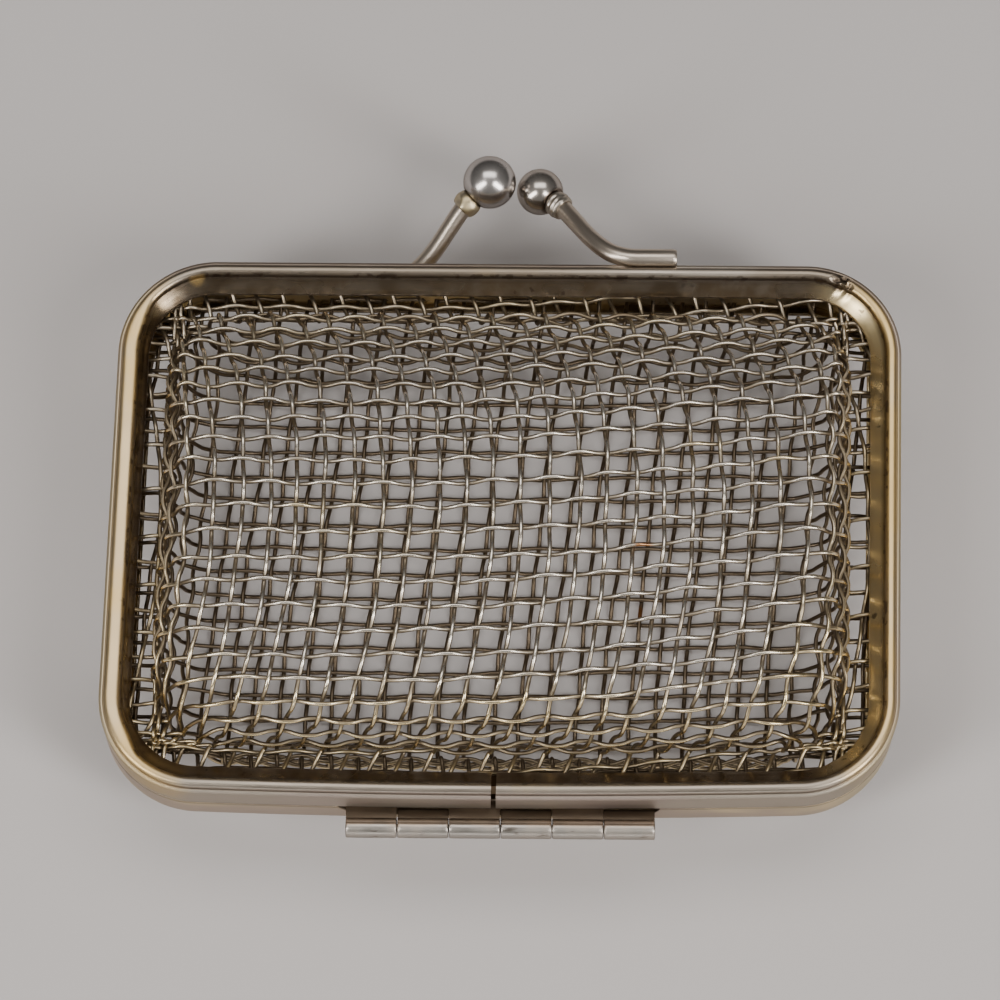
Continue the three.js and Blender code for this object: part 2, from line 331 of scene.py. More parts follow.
def tube(
    maker: MeshMaker,
    centres: np.ndarray,
    upward: np.ndarray,
    radii: np.ndarray,
    sides: int,
    **values: np.ndarray,
) -> None:
    """Adds a closed round tube along a path.

    Args:
        maker: The mesh that takes it.
        centres: The path, one row for each point.
        upward: A direction across the path at each point. The vertex attribute facing is 1 that way.
        radii: The radius at each point.
        sides: Sides of the tube.
        values: Vertex attributes, one value for each point of the path.
    """
    along = unit(np.gradient(centres, axis=0))
    sideways = unit(np.cross(along, upward))
    across = np.cross(sideways, along)
    angles = np.arange(sides) * 2 * math.pi / sides
    cosines, sines = np.cos(angles)[None, :, None], np.sin(angles)[None, :, None]
    ring = cosines * sideways[:, None] + sines * across[:, None]
    points = centres[:, None] + radii[:, None, None] * ring
    spread = {key: np.repeat(array[:, None], sides, axis=1) for key, array in values.items()}
    spread["facing"] = np.tile(np.sin(angles), (len(centres), 1))
    start = maker.grid(points, False, True, **spread)
    maker.cap(start, sides, False)
    maker.cap(start + (len(centres) - 1) * sides, sides, True)


class Nodes:
    """A short way to write a material's nodes."""

    def __init__(self, name: str) -> None:
        """Starts a material with an empty tree.

        Args:
            name: The material's name.
        """
        self.material = bpy.data.materials.new(name)
        self.material.use_nodes = True
        self.tree = self.material.node_tree
        self.tree.nodes.clear()
        self.output = self.tree.nodes.new("ShaderNodeOutputMaterial")

    def add(self, kind: str, **settings: object) -> bpy.types.Node:
        """Adds a node and sets its own properties.

        Args:
            kind: The node's type, without the word ShaderNode.
            settings: Its properties and their values.

        Returns:
            The node.
        """
        node = self.tree.nodes.new("ShaderNode" + kind)
        for key, value in settings.items():
            setattr(node, key, value)
        return node

    def put(self, socket: bpy.types.NodeSocket, value: object) -> None:
        """Links a socket to an output, or sets it to a constant.

        Args:
            socket: The input.
            value: An output to link, or a constant.
        """
        if isinstance(value, bpy.types.NodeSocket):
            self.tree.links.new(value, socket)
        else:
            socket.default_value = value

    def math(self, operation: str, first: object, second: object = 0.0) -> bpy.types.NodeSocket:
        """One step of arithmetic.

        Args:
            operation: The name of the operation.
            first: The first value.
            second: The second value.

        Returns:
            The result's socket.
        """
        node = self.add("Math", operation=operation)
        self.put(node.inputs[0], first)
        self.put(node.inputs[1], second)
        return node.outputs[0]

    def times(self, first: object, second: object) -> bpy.types.NodeSocket:
        """The product of two values."""
        return self.math("MULTIPLY", first, second)

    def plus(self, first: object, second: object) -> bpy.types.NodeSocket:
        """The sum of two values."""
        return self.math("ADD", first, second)

    def most(self, first: object, second: object) -> bpy.types.NodeSocket:
        """The larger of two values."""
        return self.math("MAXIMUM", first, second)

    def range(
        self, value: object, low: float, high: float, to_low: float = 0.0, to_high: float = 1.0
    ) -> bpy.types.NodeSocket:
        """Grades a value smoothly from one range to another.

        Args:
            value: The value to grade.
            low: Where the grade starts.
            high: Where it ends.
            to_low: The result at its start.
            to_high: The result at its end.

        Returns:
            The graded value's socket.
        """
        node = self.add("MapRange", interpolation_type="SMOOTHSTEP")
        for socket, number in zip(node.inputs, (value, low, high, to_low, to_high)):
            self.put(socket, number)
        return node.outputs[0]

    def mix(self, share: object, first: object, second: object) -> bpy.types.NodeSocket:
        """Mixes two colours.

        Args:
            share: How much of the second colour there is.
            first: The first colour.
            second: The second colour.

        Returns:
            The mixed colour's socket.
        """
        node = self.add("Mix", data_type="RGBA")
        self.put(node.inputs["Factor"], share)
        self.put(node.inputs["A"], first)
        self.put(node.inputs["B"], second)
        return node.outputs["Result"]

    def place(self) -> bpy.types.NodeSocket:
        """The place on the piece itself, in metres."""
        return self.add("TexCoord").outputs["Object"]

    def axes(self) -> tuple[bpy.types.NodeSocket, ...]:
        """X, Y and Z on the piece, in metres.

        Returns:
            The sockets of the three coordinates.
        """
        split = self.add("SeparateXYZ")
        self.put(split.inputs[0], self.place())
        return tuple(split.outputs)

    def near(self, x: float, y: float, radius: float) -> bpy.types.NodeSocket:
        """A soft round patch on the piece, seen from above, in metres.

        Args:
            x: X of the patch's middle.
            y: Y of the patch's middle.
            radius: Where the patch ends.

        Returns:
            A socket with 1 in the patch and 0 outside it.
        """
        full = 0.4
        axes = self.axes()
        away_x = self.math("POWER", self.math("SUBTRACT", axes[0], x), 2.0)
        away_y = self.math("POWER", self.math("SUBTRACT", axes[1], y), 2.0)
        away = self.math("SQRT", self.math("ADD", away_x, away_y))
        return self.range(away, radius, radius * full)

    def noise(
        self,
        scale: float,
        detail: float = 3.0,
        stretch: tuple[float, float, float] = (1, 1, 1),
        shift: float = 0.0,
    ) -> bpy.types.NodeSocket:
        """Smooth noise over the piece.

        Args:
            scale: Features in each metre.
            detail: Octaves of finer noise.
            stretch: How much denser the noise is along each axis.
            shift: Moves the pattern, so that two uses differ.

        Returns:
            The noise value's socket.
        """
        mapping = self.add("Mapping")
        self.put(mapping.inputs["Vector"], self.place())
        mapping.inputs["Scale"].default_value = stretch
        mapping.inputs["Location"].default_value = (shift, shift, shift)
        node = self.add("TexNoise")
        self.put(node.inputs["Vector"], mapping.outputs[0])
        node.inputs["Scale"].default_value = scale
        node.inputs["Detail"].default_value = detail
        return node.outputs["Fac"]

    def value(self, name: str) -> bpy.types.NodeSocket:
        """A vertex attribute's value."""
        return self.add("Attribute", attribute_name=name).outputs["Fac"]

    def bump(self, height: object, strength: float, distance: float) -> bpy.types.NodeSocket:
        """A bumped normal.

        Args:
            height: The height.
            strength: How strongly it bends the normal.
            distance: The size of the height, in metres.

        Returns:
            The normal's socket.
        """
        node = self.add("Bump")
        self.put(node.inputs["Height"], height)
        node.inputs["Strength"].default_value = strength
        node.inputs["Distance"].default_value = distance
        return node.outputs["Normal"]

    def metal(
        self, colour: object, roughness: object, normal: object, rim: float = 1.0
    ) -> bpy.types.Material:
        """Ends the tree with a metal surface.

        Args:
            colour: The base colour.
            roughness: The roughness.
            normal: The bumped normal.
            rim: How bright the metal is at a glancing angle.

        Returns:
            The material.
        """
        shader = self.add("BsdfPrincipled")
        shader.inputs["Metallic"].default_value = 1.0
        shader.inputs["Specular Tint"].default_value = (rim, rim * 0.95, rim * 0.9, 1)
        self.put(shader.inputs["Base Color"], colour)
        self.put(shader.inputs["Roughness"], roughness)
        self.put(shader.inputs["Normal"], normal)
        self.put(self.output.inputs["Surface"], shader.outputs[0])
        return self.material


Colour = tuple[float, float, float, float]


@dataclass(frozen=True)
class PlatedFrame:
    """Worn silver plate over brass, with brown tarnish inside and gold where the plate has gone, painted
    shade in its folds and along the seam, and darker towards the clasp side.
    """

    name: str = "worn_silver_plate"
    silver: Colour = (0.40, 0.355, 0.30, 1)
    brass: Colour = (0.66, 0.47, 0.21, 1)
    gold: Colour = (0.92, 0.75, 0.43, 1)
    brown: Colour = (0.16, 0.118, 0.075, 1)
    plum: Colour = (0.40, 0.33, 0.30, 1)
    olive: Colour = (0.36, 0.33, 0.25, 1)
    black: Colour = (0.07, 0.05, 0.036, 1)
    gold_share: float = 0.0
    clasp_side_darkening: float = 0.6
    rubbed_patch: tuple[float, float, float] = (-0.0318, 0.0262, 0.0011)

    def material(self) -> bpy.types.Material:
        """Makes the finish.

        Returns:
            The material.
        """
        nodes = Nodes(self.name)
        inset = nodes.value("inset")
        lift = nodes.value("lift")
        x, y, _ = nodes.axes()
        sides = nodes.range(nodes.math("ABSOLUTE", x), 0.030, 0.0375)
        clasp_side = nodes.range(y, 0.022, 0.027)
        patches = nodes.noise(90, 4)
        streaks = nodes.noise(160, 4, (0.25, 0.25, 1.0), 3.1)
        specks = nodes.noise(900, 3, shift=7.3)
        blotches = nodes.noise(420, 4, (1, 1, 0.4), 5.5)

        worn = nodes.plus(nodes.times(sides, 0.85), self.gold_share)
        worn = nodes.plus(worn, nodes.range(patches, 0.42, 0.68, -0.3, 0.3))
        worn = nodes.range(worn, 0.05, 0.9)
        colour = nodes.mix(worn, self.silver, self.brass)

        olive = nodes.times(sides, nodes.range(inset, 0.75, 0.15, 0.0, 0.6))
        colour = nodes.mix(olive, colour, self.olive)
        plum = nodes.times(nodes.range(streaks, 0.42, 0.62), nodes.range(inset, 0.9, 0.2))
        colour = nodes.mix(nodes.times(plum, 0.8), colour, self.plum)
        # darker brown towards the clasp side, and a little towards the hinge side
        toned = nodes.times(clasp_side, nodes.range(streaks, 0.4, 0.6, 0.25, 1.0))
        toned = nodes.times(toned, self.clasp_side_darkening)
        toned = nodes.most(toned, nodes.range(y, -0.021, -0.027, 0.0, 0.22))
        colour = nodes.mix(toned, colour, self.brown)

        inside = nodes.range(inset, 1.5, 2.0)
        tarnish = nodes.times(inside, nodes.range(blotches, 0.35, 0.62, 0.55, 0.97))
        tarnish = nodes.times(tarnish, nodes.range(x, 0.030, 0.036, 1.0, 0.1))
        colour = nodes.mix(tarnish, colour, self.brown)
        golden = nodes.times(inside, nodes.range(x, 0.030, 0.036, 0.0, 0.85))
        colour = nodes.mix(golden, colour, self.gold)
        deep = nodes.times(nodes.range(inset, 2.3, 2.9), nodes.range(x, -0.030, -0.036))
        colour = nodes.mix(nodes.times(deep, 0.6), colour, self.black)

        # painted shade along the folds and along the seam, mixed with real wear specks and the scuff,
        # darkens the colour towards black
        creases = nodes.value("crease")
        grime_and_shade = nodes.times(creases, nodes.range(patches, 0.3, 0.6, 0.6, 0.97))
        # painted shade: darker along the seam between the two halves
        low = nodes.times(nodes.range(lift, 0.75, 0.15), 0.5)
        dots = nodes.range(specks, 0.64, 0.72, 0.0, 0.7)
        chips = nodes.times(nodes.range(inset, 1.2, 1.55), nodes.range(specks, 0.5, 0.6, 0.0, 0.8))
        dots = nodes.most(dots, nodes.times(chips, nodes.range(inset, 2.0, 1.7)))
        grime_and_shade = nodes.most(nodes.most(grime_and_shade, low), nodes.times(dots, nodes.range(inset, 1.1, 1.5)))
        colour = nodes.mix(nodes.most(grime_and_shade, nodes.value("scuff")), colour, self.black)
        wear_and_sheen = nodes.near(*self.rubbed_patch)
        wear_and_sheen = nodes.times(wear_and_sheen, nodes.range(inset, 1.3, 1.7))
        colour = nodes.mix(wear_and_sheen, colour, self.brass)

        rough = nodes.range(patches, 0.3, 0.7, 0.29, 0.4)
        rough = nodes.math("SUBTRACT", rough, nodes.times(inside, 0.08))
        rough = nodes.plus(rough, nodes.range(inset, 0.3, 0.1, 0.0, 0.2))
        lines = nodes.noise(2600, 2, (0.08, 0.08, 1.0), 1.7)
        height = nodes.plus(nodes.times(specks, 0.5), lines)
        height = nodes.plus(height, nodes.times(streaks, 2.0))
        return nodes.metal(colour, rough, nodes.bump(height, 0.3, 0.00006))


@dataclass(frozen=True)
class NetWire:
    """Silver-plated wire: worn bright on its crests with a painted sheen on the tops of the wires, brown
    tarnish on the flanks, painted shade beneath and low down near the frame, and yellow stains.
    """

    name: str = "net_wire"
    silver: Colour = (0.74, 0.68, 0.59, 1)
    brass: Colour = (0.76, 0.62, 0.36, 1)
    brown: Colour = (0.25, 0.20, 0.135, 1)
    # the colour of the painted shade on the wires' undersides
    dark: Colour = (0.15, 0.115, 0.078, 1)
    rust: Colour = (0.30, 0.13, 0.04, 1)
    rust_spot: tuple[float, float, float] = (0.0137, -0.0048, 0.0012)
    stain_radius: float = 0.0028
    stains: tuple[tuple[float, float], ...] = ((0.0198, 0.0056), (0.0275, 0.0042), (-0.0195, -0.0010))

    def material(self) -> bpy.types.Material:
        """Makes the finish.

        Returns:
            The material.
        """
        nodes = Nodes(self.name)
        crest = nodes.value("crest")
        edge = nodes.value("edge")
        facing = nodes.value("facing")
        _, y, _ = nodes.axes()
        patches = nodes.noise(60, 4)
        specks = nodes.noise(500, 3, shift=2.2)
        brassy = nodes.range(patches, 0.45, 0.72, 0, 0.55)
        hinge_side = nodes.times(edge, nodes.range(y, 0.018, -0.018, 0.25, 0.95))
        brassy = nodes.plus(brassy, hinge_side)
        for stain_x, stain_y in self.stains:
            stain = nodes.times(nodes.near(stain_x, stain_y, self.stain_radius), 0.8)
            brassy = nodes.most(brassy, stain)
        colour = nodes.mix(brassy, self.silver, self.brass)

        # worn bright crests, with a painted sheen on the outward-facing tops of the wires
        wear_and_sheen = nodes.times(nodes.range(facing, 0.25, 0.85), nodes.range(crest, -0.5, 0.6, 0.2, 1.0))
        wear_and_sheen = nodes.times(wear_and_sheen, nodes.range(specks, 0.66, 0.52, 0.3, 1.0))
        # painted shade on the wires low down, near the frame
        wear_and_sheen = nodes.times(wear_and_sheen, nodes.range(nodes.value("lift"), 1.4, 4.5, 0.4, 1.0))
        # brown tarnish on the flanks, with painted shade on the undersides
        tarnish = nodes.mix(nodes.range(facing, 0.1, -0.6), self.brown, self.dark)
        colour = nodes.mix(wear_and_sheen, tarnish, colour)
        rust = nodes.near(*self.rust_spot)
        colour = nodes.mix(nodes.times(rust, 0.9), colour, self.rust)
        rough = nodes.range(wear_and_sheen, 0.0, 1.0, 0.40, 0.22)
        return nodes.metal(colour, rough, nodes.bump(specks, 0.35, 0.00004), 0.7)


@dataclass(frozen=True)
class PolishedBall:
    """Polished nickel with fine scratches and a little dullness, and painted shade where the collar meets
    the ball.
    """

    name: str
    nickel: Colour
    collar_brass: float
    brass: Colour = (0.55, 0.45, 0.25, 1)
    brown: Colour = (0.09, 0.06, 0.04, 1)

    def material(self) -> bpy.types.Material:
        """Makes the finish.

        Returns:
            The material.
        """
        nodes = Nodes(self.name)
        toned = nodes.noise(260, 3)
        collar = nodes.value("collar")
        crease = nodes.value("crease")
        brassy = nodes.times(collar, nodes.range(toned, 0.35, 0.65, 0.3, 1.0))
        brassy = nodes.times(brassy, self.collar_brass)
        colour = nodes.mix(brassy, self.nickel, self.brass)
        # painted shade where the collar meets the ball
        colour = nodes.mix(crease, colour, self.brown)
        rough = nodes.range(toned, 0.35, 0.7, 0.2, 0.3)
        rough = nodes.plus(rough, nodes.times(collar, 0.12))
        height = nodes.noise(1800, 2, (1, 0.15, 1), 4.0)
        return nodes.metal(colour, rough, nodes.bump(height, 0.12, 0.00002), 0.5)


@dataclass(frozen=True)
class HingeSteel:
    """Plated hinge metal: grey below, warmer above as a painted highlight broken by random patches, with
    painted shade in the recesses.
    """

    name: str = "hinge_plate"
    grey: Colour = (0.40, 0.37, 0.335, 1)
    warm: Colour = (0.48, 0.40, 0.325, 1)
    brown: Colour = (0.065, 0.045, 0.028, 1)

    def material(self) -> bpy.types.Material:
        """Makes the finish.

        Returns:
            The material.
        """
        nodes = Nodes(self.name)
        patches = nodes.noise(300, 3)
        specks = nodes.noise(1500, 3, (0.3, 1, 1), 5.0)
        _, y, _ = nodes.axes()
        # painted highlight: warmer on the clasp-facing upper side of the knuckles and leaves, broken by
        # random patches
        wear_and_sheen = nodes.range(y, -0.0310, -0.0303)
        wear_and_sheen = nodes.plus(wear_and_sheen, nodes.range(patches, 0.4, 0.65, -0.4, 0.3))
        colour = nodes.mix(nodes.range(wear_and_sheen, 0.0, 1.0), self.grey, self.warm)
        # painted shade in the recesses and seams, with real dirt specks
        dirt_and_shade = nodes.most(nodes.value("crease"), nodes.range(specks, 0.6, 0.75, 0, 0.6))
        colour = nodes.mix(dirt_and_shade, colour, self.brown)
        rough = nodes.range(patches, 0.3, 0.7, 0.3, 0.42)
        return nodes.metal(colour, rough, nodes.bump(specks, 0.3, 0.00005), 0.5)


def turn_faces_out(mesh: bpy.types.Mesh) -> None:
    """Turns a closed mesh's faces out if its volume comes out negative.

    Args:
        mesh: The closed mesh.
    """
    mesh.calc_loop_triangles()
    points = np.empty(len(mesh.vertices) * 3)
    mesh.vertices.foreach_get("co", points)
    points = points.reshape(-1, 3)
    corners = np.empty(len(mesh.loop_triangles) * 3, dtype=np.int32)
    mesh.loop_triangles.foreach_get("vertices", corners)
    a, b, c = (points[corners.reshape(-1, 3)[:, index]] for index in range(3))
    if float(np.einsum("ij,ij->", a, np.cross(b, c))) < 0:
        mesh.flip_normals()


def seat(
    piece: bpy.types.Object, half: Half, finish: bpy.types.Material, node: str
) -> bpy.types.Object:
    """Gives a piece its finish and its body, puts it in a node's place, and reports it.

    Args:
        piece: The new piece, in place.
        half: The half whose body it rides on.
        finish: The material.
        node: The node that it replaces, alone or with other pieces.

    Returns:
        The piece.
    """
    piece.data.materials.append(finish)
    turn_faces_out(piece.data)
    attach(piece, half.body)
    triangles = sum(len(face.vertices) - 2 for face in piece.data.polygons)
    LOG.info("%s on %s, %d triangles", piece.name, half.body, triangles)
    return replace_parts(piece, node)


def wobble(points: np.ndarray, scale: float, shift: float) -> np.ndarray:
    """Smooth noise at each point, between about -1 and 1.

    Args:
        points: Points in millimetres.
        scale: The length of one feature, in millimetres.
        shift: Moves the pattern, so that two uses differ.

    Returns:
        One value for each point.
    """
    flat = points.reshape(-1, 3) / scale + shift
    values = [noise.noise(Vector(point)) for point in flat]
    return np.array(values).reshape(points.shape[:-1])


@dataclass
class FrameStrip:
    """The formed metal strip of one half: outer wall, bead, and a lip that slopes down to the net.

    Each painted shade line along a fold has its inset, its width and its darkness. The bead rises and
    falls between two insets each, and at the left end it is shifted inwards between two distances from the
    outside.
    """

    half: Half
    joint_gap: float = 0.5
    joint_x: float = -0.325
    notch_depth: float = 2.6
    notch_round: float = 1.3
    notch_clearance: float = 0.3
    hinge_steps: int = 44
    side_steps: int = 40
    long_steps: int = 62
    corner_steps: int = 54
    dent: float = 0.045
    fine_dent: float = 0.022
    wall_top: float = 3.3
    bead_rise: tuple[float, float] = (0.5, 1.5)
    bead_fall: tuple[float, float] = (1.9, 3.0)
    bead_shift: float = 0.6
    shift_from: float = 3.0
    shift_to: float = 0.6
    creases: tuple[tuple[float, float, float], ...] = ((0.40, 0.09, 0.45), (1.66, 0.14, 0.75))
    creased_above: float = 3.5
    scuff_place: tuple[float, float] = (34.3, 25.6)
    scuff_radius: float = 1.5
    scuff_depth: float = 0.2
    scuff_rough: float = 0.45
    section: tuple[Corner, ...] = (
        Corner(0.0, 0.15, 0.12),
        Corner(0.0, 4.12, 0.3),
        Corner(0.40, 4.06, 0.04),
        Corner(0.44, 4.7, 0.5),
        Corner(1.52, 4.7, 0.5),
        Corner(1.64, 3.98, 0.08),
        Corner(3.05, 2.80, 0.18),
        Corner(3.05, 2.15, 0.16),
        Corner(1.6, 3.4, 0.2),
        Corner(0.75, 3.4, 0.15),
        Corner(0.75, 0.15, 0.12),
    )

    def outline(self, inset: float) -> np.ndarray:
        """The strip's plan outline at an inset, always with the same number of points.

        Args:
            inset: The distance in from the outside of the frame.

        Returns:
            Bent plan points, from right of the joint round to the left of it.
        """
        radius = FORM.corner_radius - inset
        right = FORM.width / 2 - inset
        top = FORM.height / 2 - inset
        corner_x = right - radius
        corner_y = top - radius
        gap = self.joint_gap / 2 if self.half is Half.FRONT else 0.0

        def line(start: tuple[float, float], end: tuple[float, float], steps: int) -> np.ndarray:
            """Evenly spaced points from a start to just before an end."""
            share = (np.arange(steps) / steps)[:, None]
            return np.array(start) * (1 - share) + np.array(end) * share

        def arc(x: float, y: float, first: float) -> np.ndarray:
            """Points of a quarter turn about a corner's centre, from an angle in degrees."""
            turn = np.radians(first + 90 * np.arange(self.corner_steps) / self.corner_steps)
            return np.stack([x + radius * np.cos(turn), y + radius * np.sin(turn)], axis=1)

        parts = [
            line((self.joint_x + gap, -top), (corner_x, -top), self.hinge_steps),
            arc(corner_x, -corner_y, -90),
            line((right, -corner_y), (right, corner_y), self.side_steps),
            arc(corner_x, corner_y, 0),
            line((corner_x, top), (-corner_x, top), self.long_steps),
            arc(-corner_x, corner_y, 90),
            line((-right, corner_y), (-right, -corner_y), self.side_steps),
            arc(-corner_x, -corner_y, 180),
            line((-corner_x, -top), (self.joint_x - gap, -top), self.hinge_steps),
        ]
        if self.half is Half.FRONT:
            parts.append(np.array([[self.joint_x - gap, -top]]))
        return FORM.bend(np.concatenate(parts))

    def notch_edge(self, plan: np.ndarray) -> np.ndarray:
        """The height of the strip's free edge at each plan point: raised over the hinge on the back half.

        Args:
            plan: Bent plan points of the outside of the strip.

        Returns:
            The edge's height above the seam at each point.
        """
        reach = FORM.hinge_length / 2 + self.notch_clearance
        beyond = np.abs(plan[:, 0] - FORM.hinge_middle) - reach
        inside = np.clip(-beyond / self.notch_round, 0, 1)
        rise = self.notch_depth * np.sqrt(1 - (1 - inside) ** 2)
        over_hinge = plan[:, 1] < -FORM.height / 2 + FORM.wall
        return np.where(over_hinge, np.maximum(rise, FORM.edge), FORM.edge)

    def grid(self) -> tuple[np.ndarray, dict[str, np.ndarray]]:
        """The strip's points and shading values, section by section.

        Returns:
            Points as rows of section points and columns of outline points, and the vertex values.
        """
        section = rounded_section(self.section, arc_steps=5, longest=0.7)
        outside = self.outline(0.0)
        edge = np.full(len(outside), FORM.edge)
        if self.half is Half.BACK:
            edge = self.notch_edge(outside)
        rows, insets, lifts = [], [], []
        half_width = FORM.width / 2
        left = ramp(-outside[:, 0], half_width - self.shift_from, half_width - self.shift_to)
        for inset, height in section:
            plan = self.outline(float(inset))
            if self.half is Half.FRONT:
                on_bead = float(ramp(inset, *self.bead_rise) * (1 - ramp(inset, *self.bead_fall)))
                inward = self.outline(float(inset) + self.bead_shift) - plan
                plan = plan + inward * (left * on_bead)[:, None]
            share = np.clip((self.wall_top - height) / (self.wall_top - FORM.edge), 0, 1)
            lift = height + share * (edge - FORM.edge)
            rows.append(FORM.world(plan, lift, self.half))
            insets.append(np.full(len(plan), inset))
            lifts.append(lift - edge + FORM.edge)
        points = np.array(rows)
        values = {"inset": np.array(insets), "lift": np.array(lifts)}
        # painted shade along the folds between the wall, the bead and the lip, on the strip's upper part
        # only
        creases = [
            dark * np.exp(-(((values["inset"] - at) / width) ** 2)) for at, width, dark in self.creases
        ]
        high = values["lift"] > self.creased_above
        values["crease"] = np.where(high, np.maximum(*creases), 0.0)
        return points, values

    def dented(self, points: np.ndarray, values: dict[str, np.ndarray]) -> tuple[np.ndarray, np.ndarray]:
        """Adds the strip's slight dents, and the scuffed patch of the front half.

        Args:
            points: The strip's points.
            values: Its vertex values.

        Returns:
            The moved points, and how scuffed each one is.
        """
        dents = self.dent * wobble(points, scale=7.0, shift=3.0)
        amount = dents + self.fine_dent * wobble(points, scale=2.2, shift=11.0)
        shown = ramp(values["lift"], 0.3, 1.2)
        moved = points.copy()
        moved[..., 2] -= self.half.value * np.abs(amount) * shown
        scuff = np.zeros(points.shape[:2])
        if self.half is Half.FRONT:
            place_x, place_y = self.scuff_place
            away = np.hypot(points[..., 0] - place_x, points[..., 1] - place_y)
            near = 1 - ramp(away, self.scuff_radius * 0.45, self.scuff_radius)
            rough = wobble(points, scale=0.5, shift=5.0)
            on_top = near * ramp(values["lift"], 3.2, 4.0)
            moved[..., 2] -= on_top * (self.scuff_depth + self.scuff_rough * rough)
            scuff = on_top * ramp(rough, -0.15, 0.3)
        return moved, scuff

    def build(self, finish: bpy.types.Material) -> bpy.types.Object:
        """Makes the strip and dresses it.

        Args:
            finish: The material.

        Returns:
            The piece.
        """
        points, values = self.grid()
        moved, values["scuff"] = self.dented(points, values)
        maker = MeshMaker(f"{self.half.body}_frame_strip")
        maker.grid(moved, True, self.half is Half.BACK, **values)
        if self.half is Half.FRONT:
            maker.close_ends(moved.shape[1])
        return seat(maker.make(45), self.half, finish, self.half.frame_node)


@dataclass
class JointTongue:
    """The thin tongue behind the front strip's butt joint, painted all over as dark shade, which shows as
    a dark line in the joint.

    Its run is a line of insets and heights along the inside of the strip, and each point of it has
    the direction in which the tongue is thick.
    """

    middle_x: float = -0.95
    half_width: float = 0.9
    thickness: float = 0.1
    steps: int = 6
    run: tuple[tuple[float, float], ...] = ((0.78, 0.95), (0.78, 3.22), (1.56, 3.22), (2.92, 2.1))
    inward: tuple[tuple[float, float], ...] = ((1.0, 0.0), (1.0, -1.0), (-0.1, -1.0), (-0.6, -0.8))

    def build(self, finish: bpy.types.Material) -> bpy.types.Object:
        """Makes the tongue, bent along the inside of the strip's section.

        Args:
            finish: The material.

        Returns:
            The piece.
        """
        places = np.array(self.run)
        inner = places + unit(np.array(self.inward)) * self.thickness
        loop = np.concatenate([places, inner[::-1]])
        x = np.linspace(-self.half_width, self.half_width, self.steps) + self.middle_x
        points = np.array(
            [[(at, FORM.wall_y + inset, FORM.half_depth + lift) for at in x] for inset, lift in loop]
        )
        maker = MeshMaker("front_joint_tongue")
        # the whole tongue carries full painted shade, as a dark sheet behind the joint
        maker.grid(points, True, False, crease=np.ones(points.shape[:2]))
        maker.close_ends(self.steps)
        return seat(maker.make(30), Half.FRONT, finish, "front_frame")


@dataclass(frozen=True)
class Weave:
    """How the wires of one net are spaced, in millimetres along the cloth."""

    warp_pitch: float
    weft_pitch: float
    warp_start: float
    weft_start: float
    seed: int
    crowding: float = 0.0
    crowd_from: float = 2.0
    crowd_to: float = 12.0


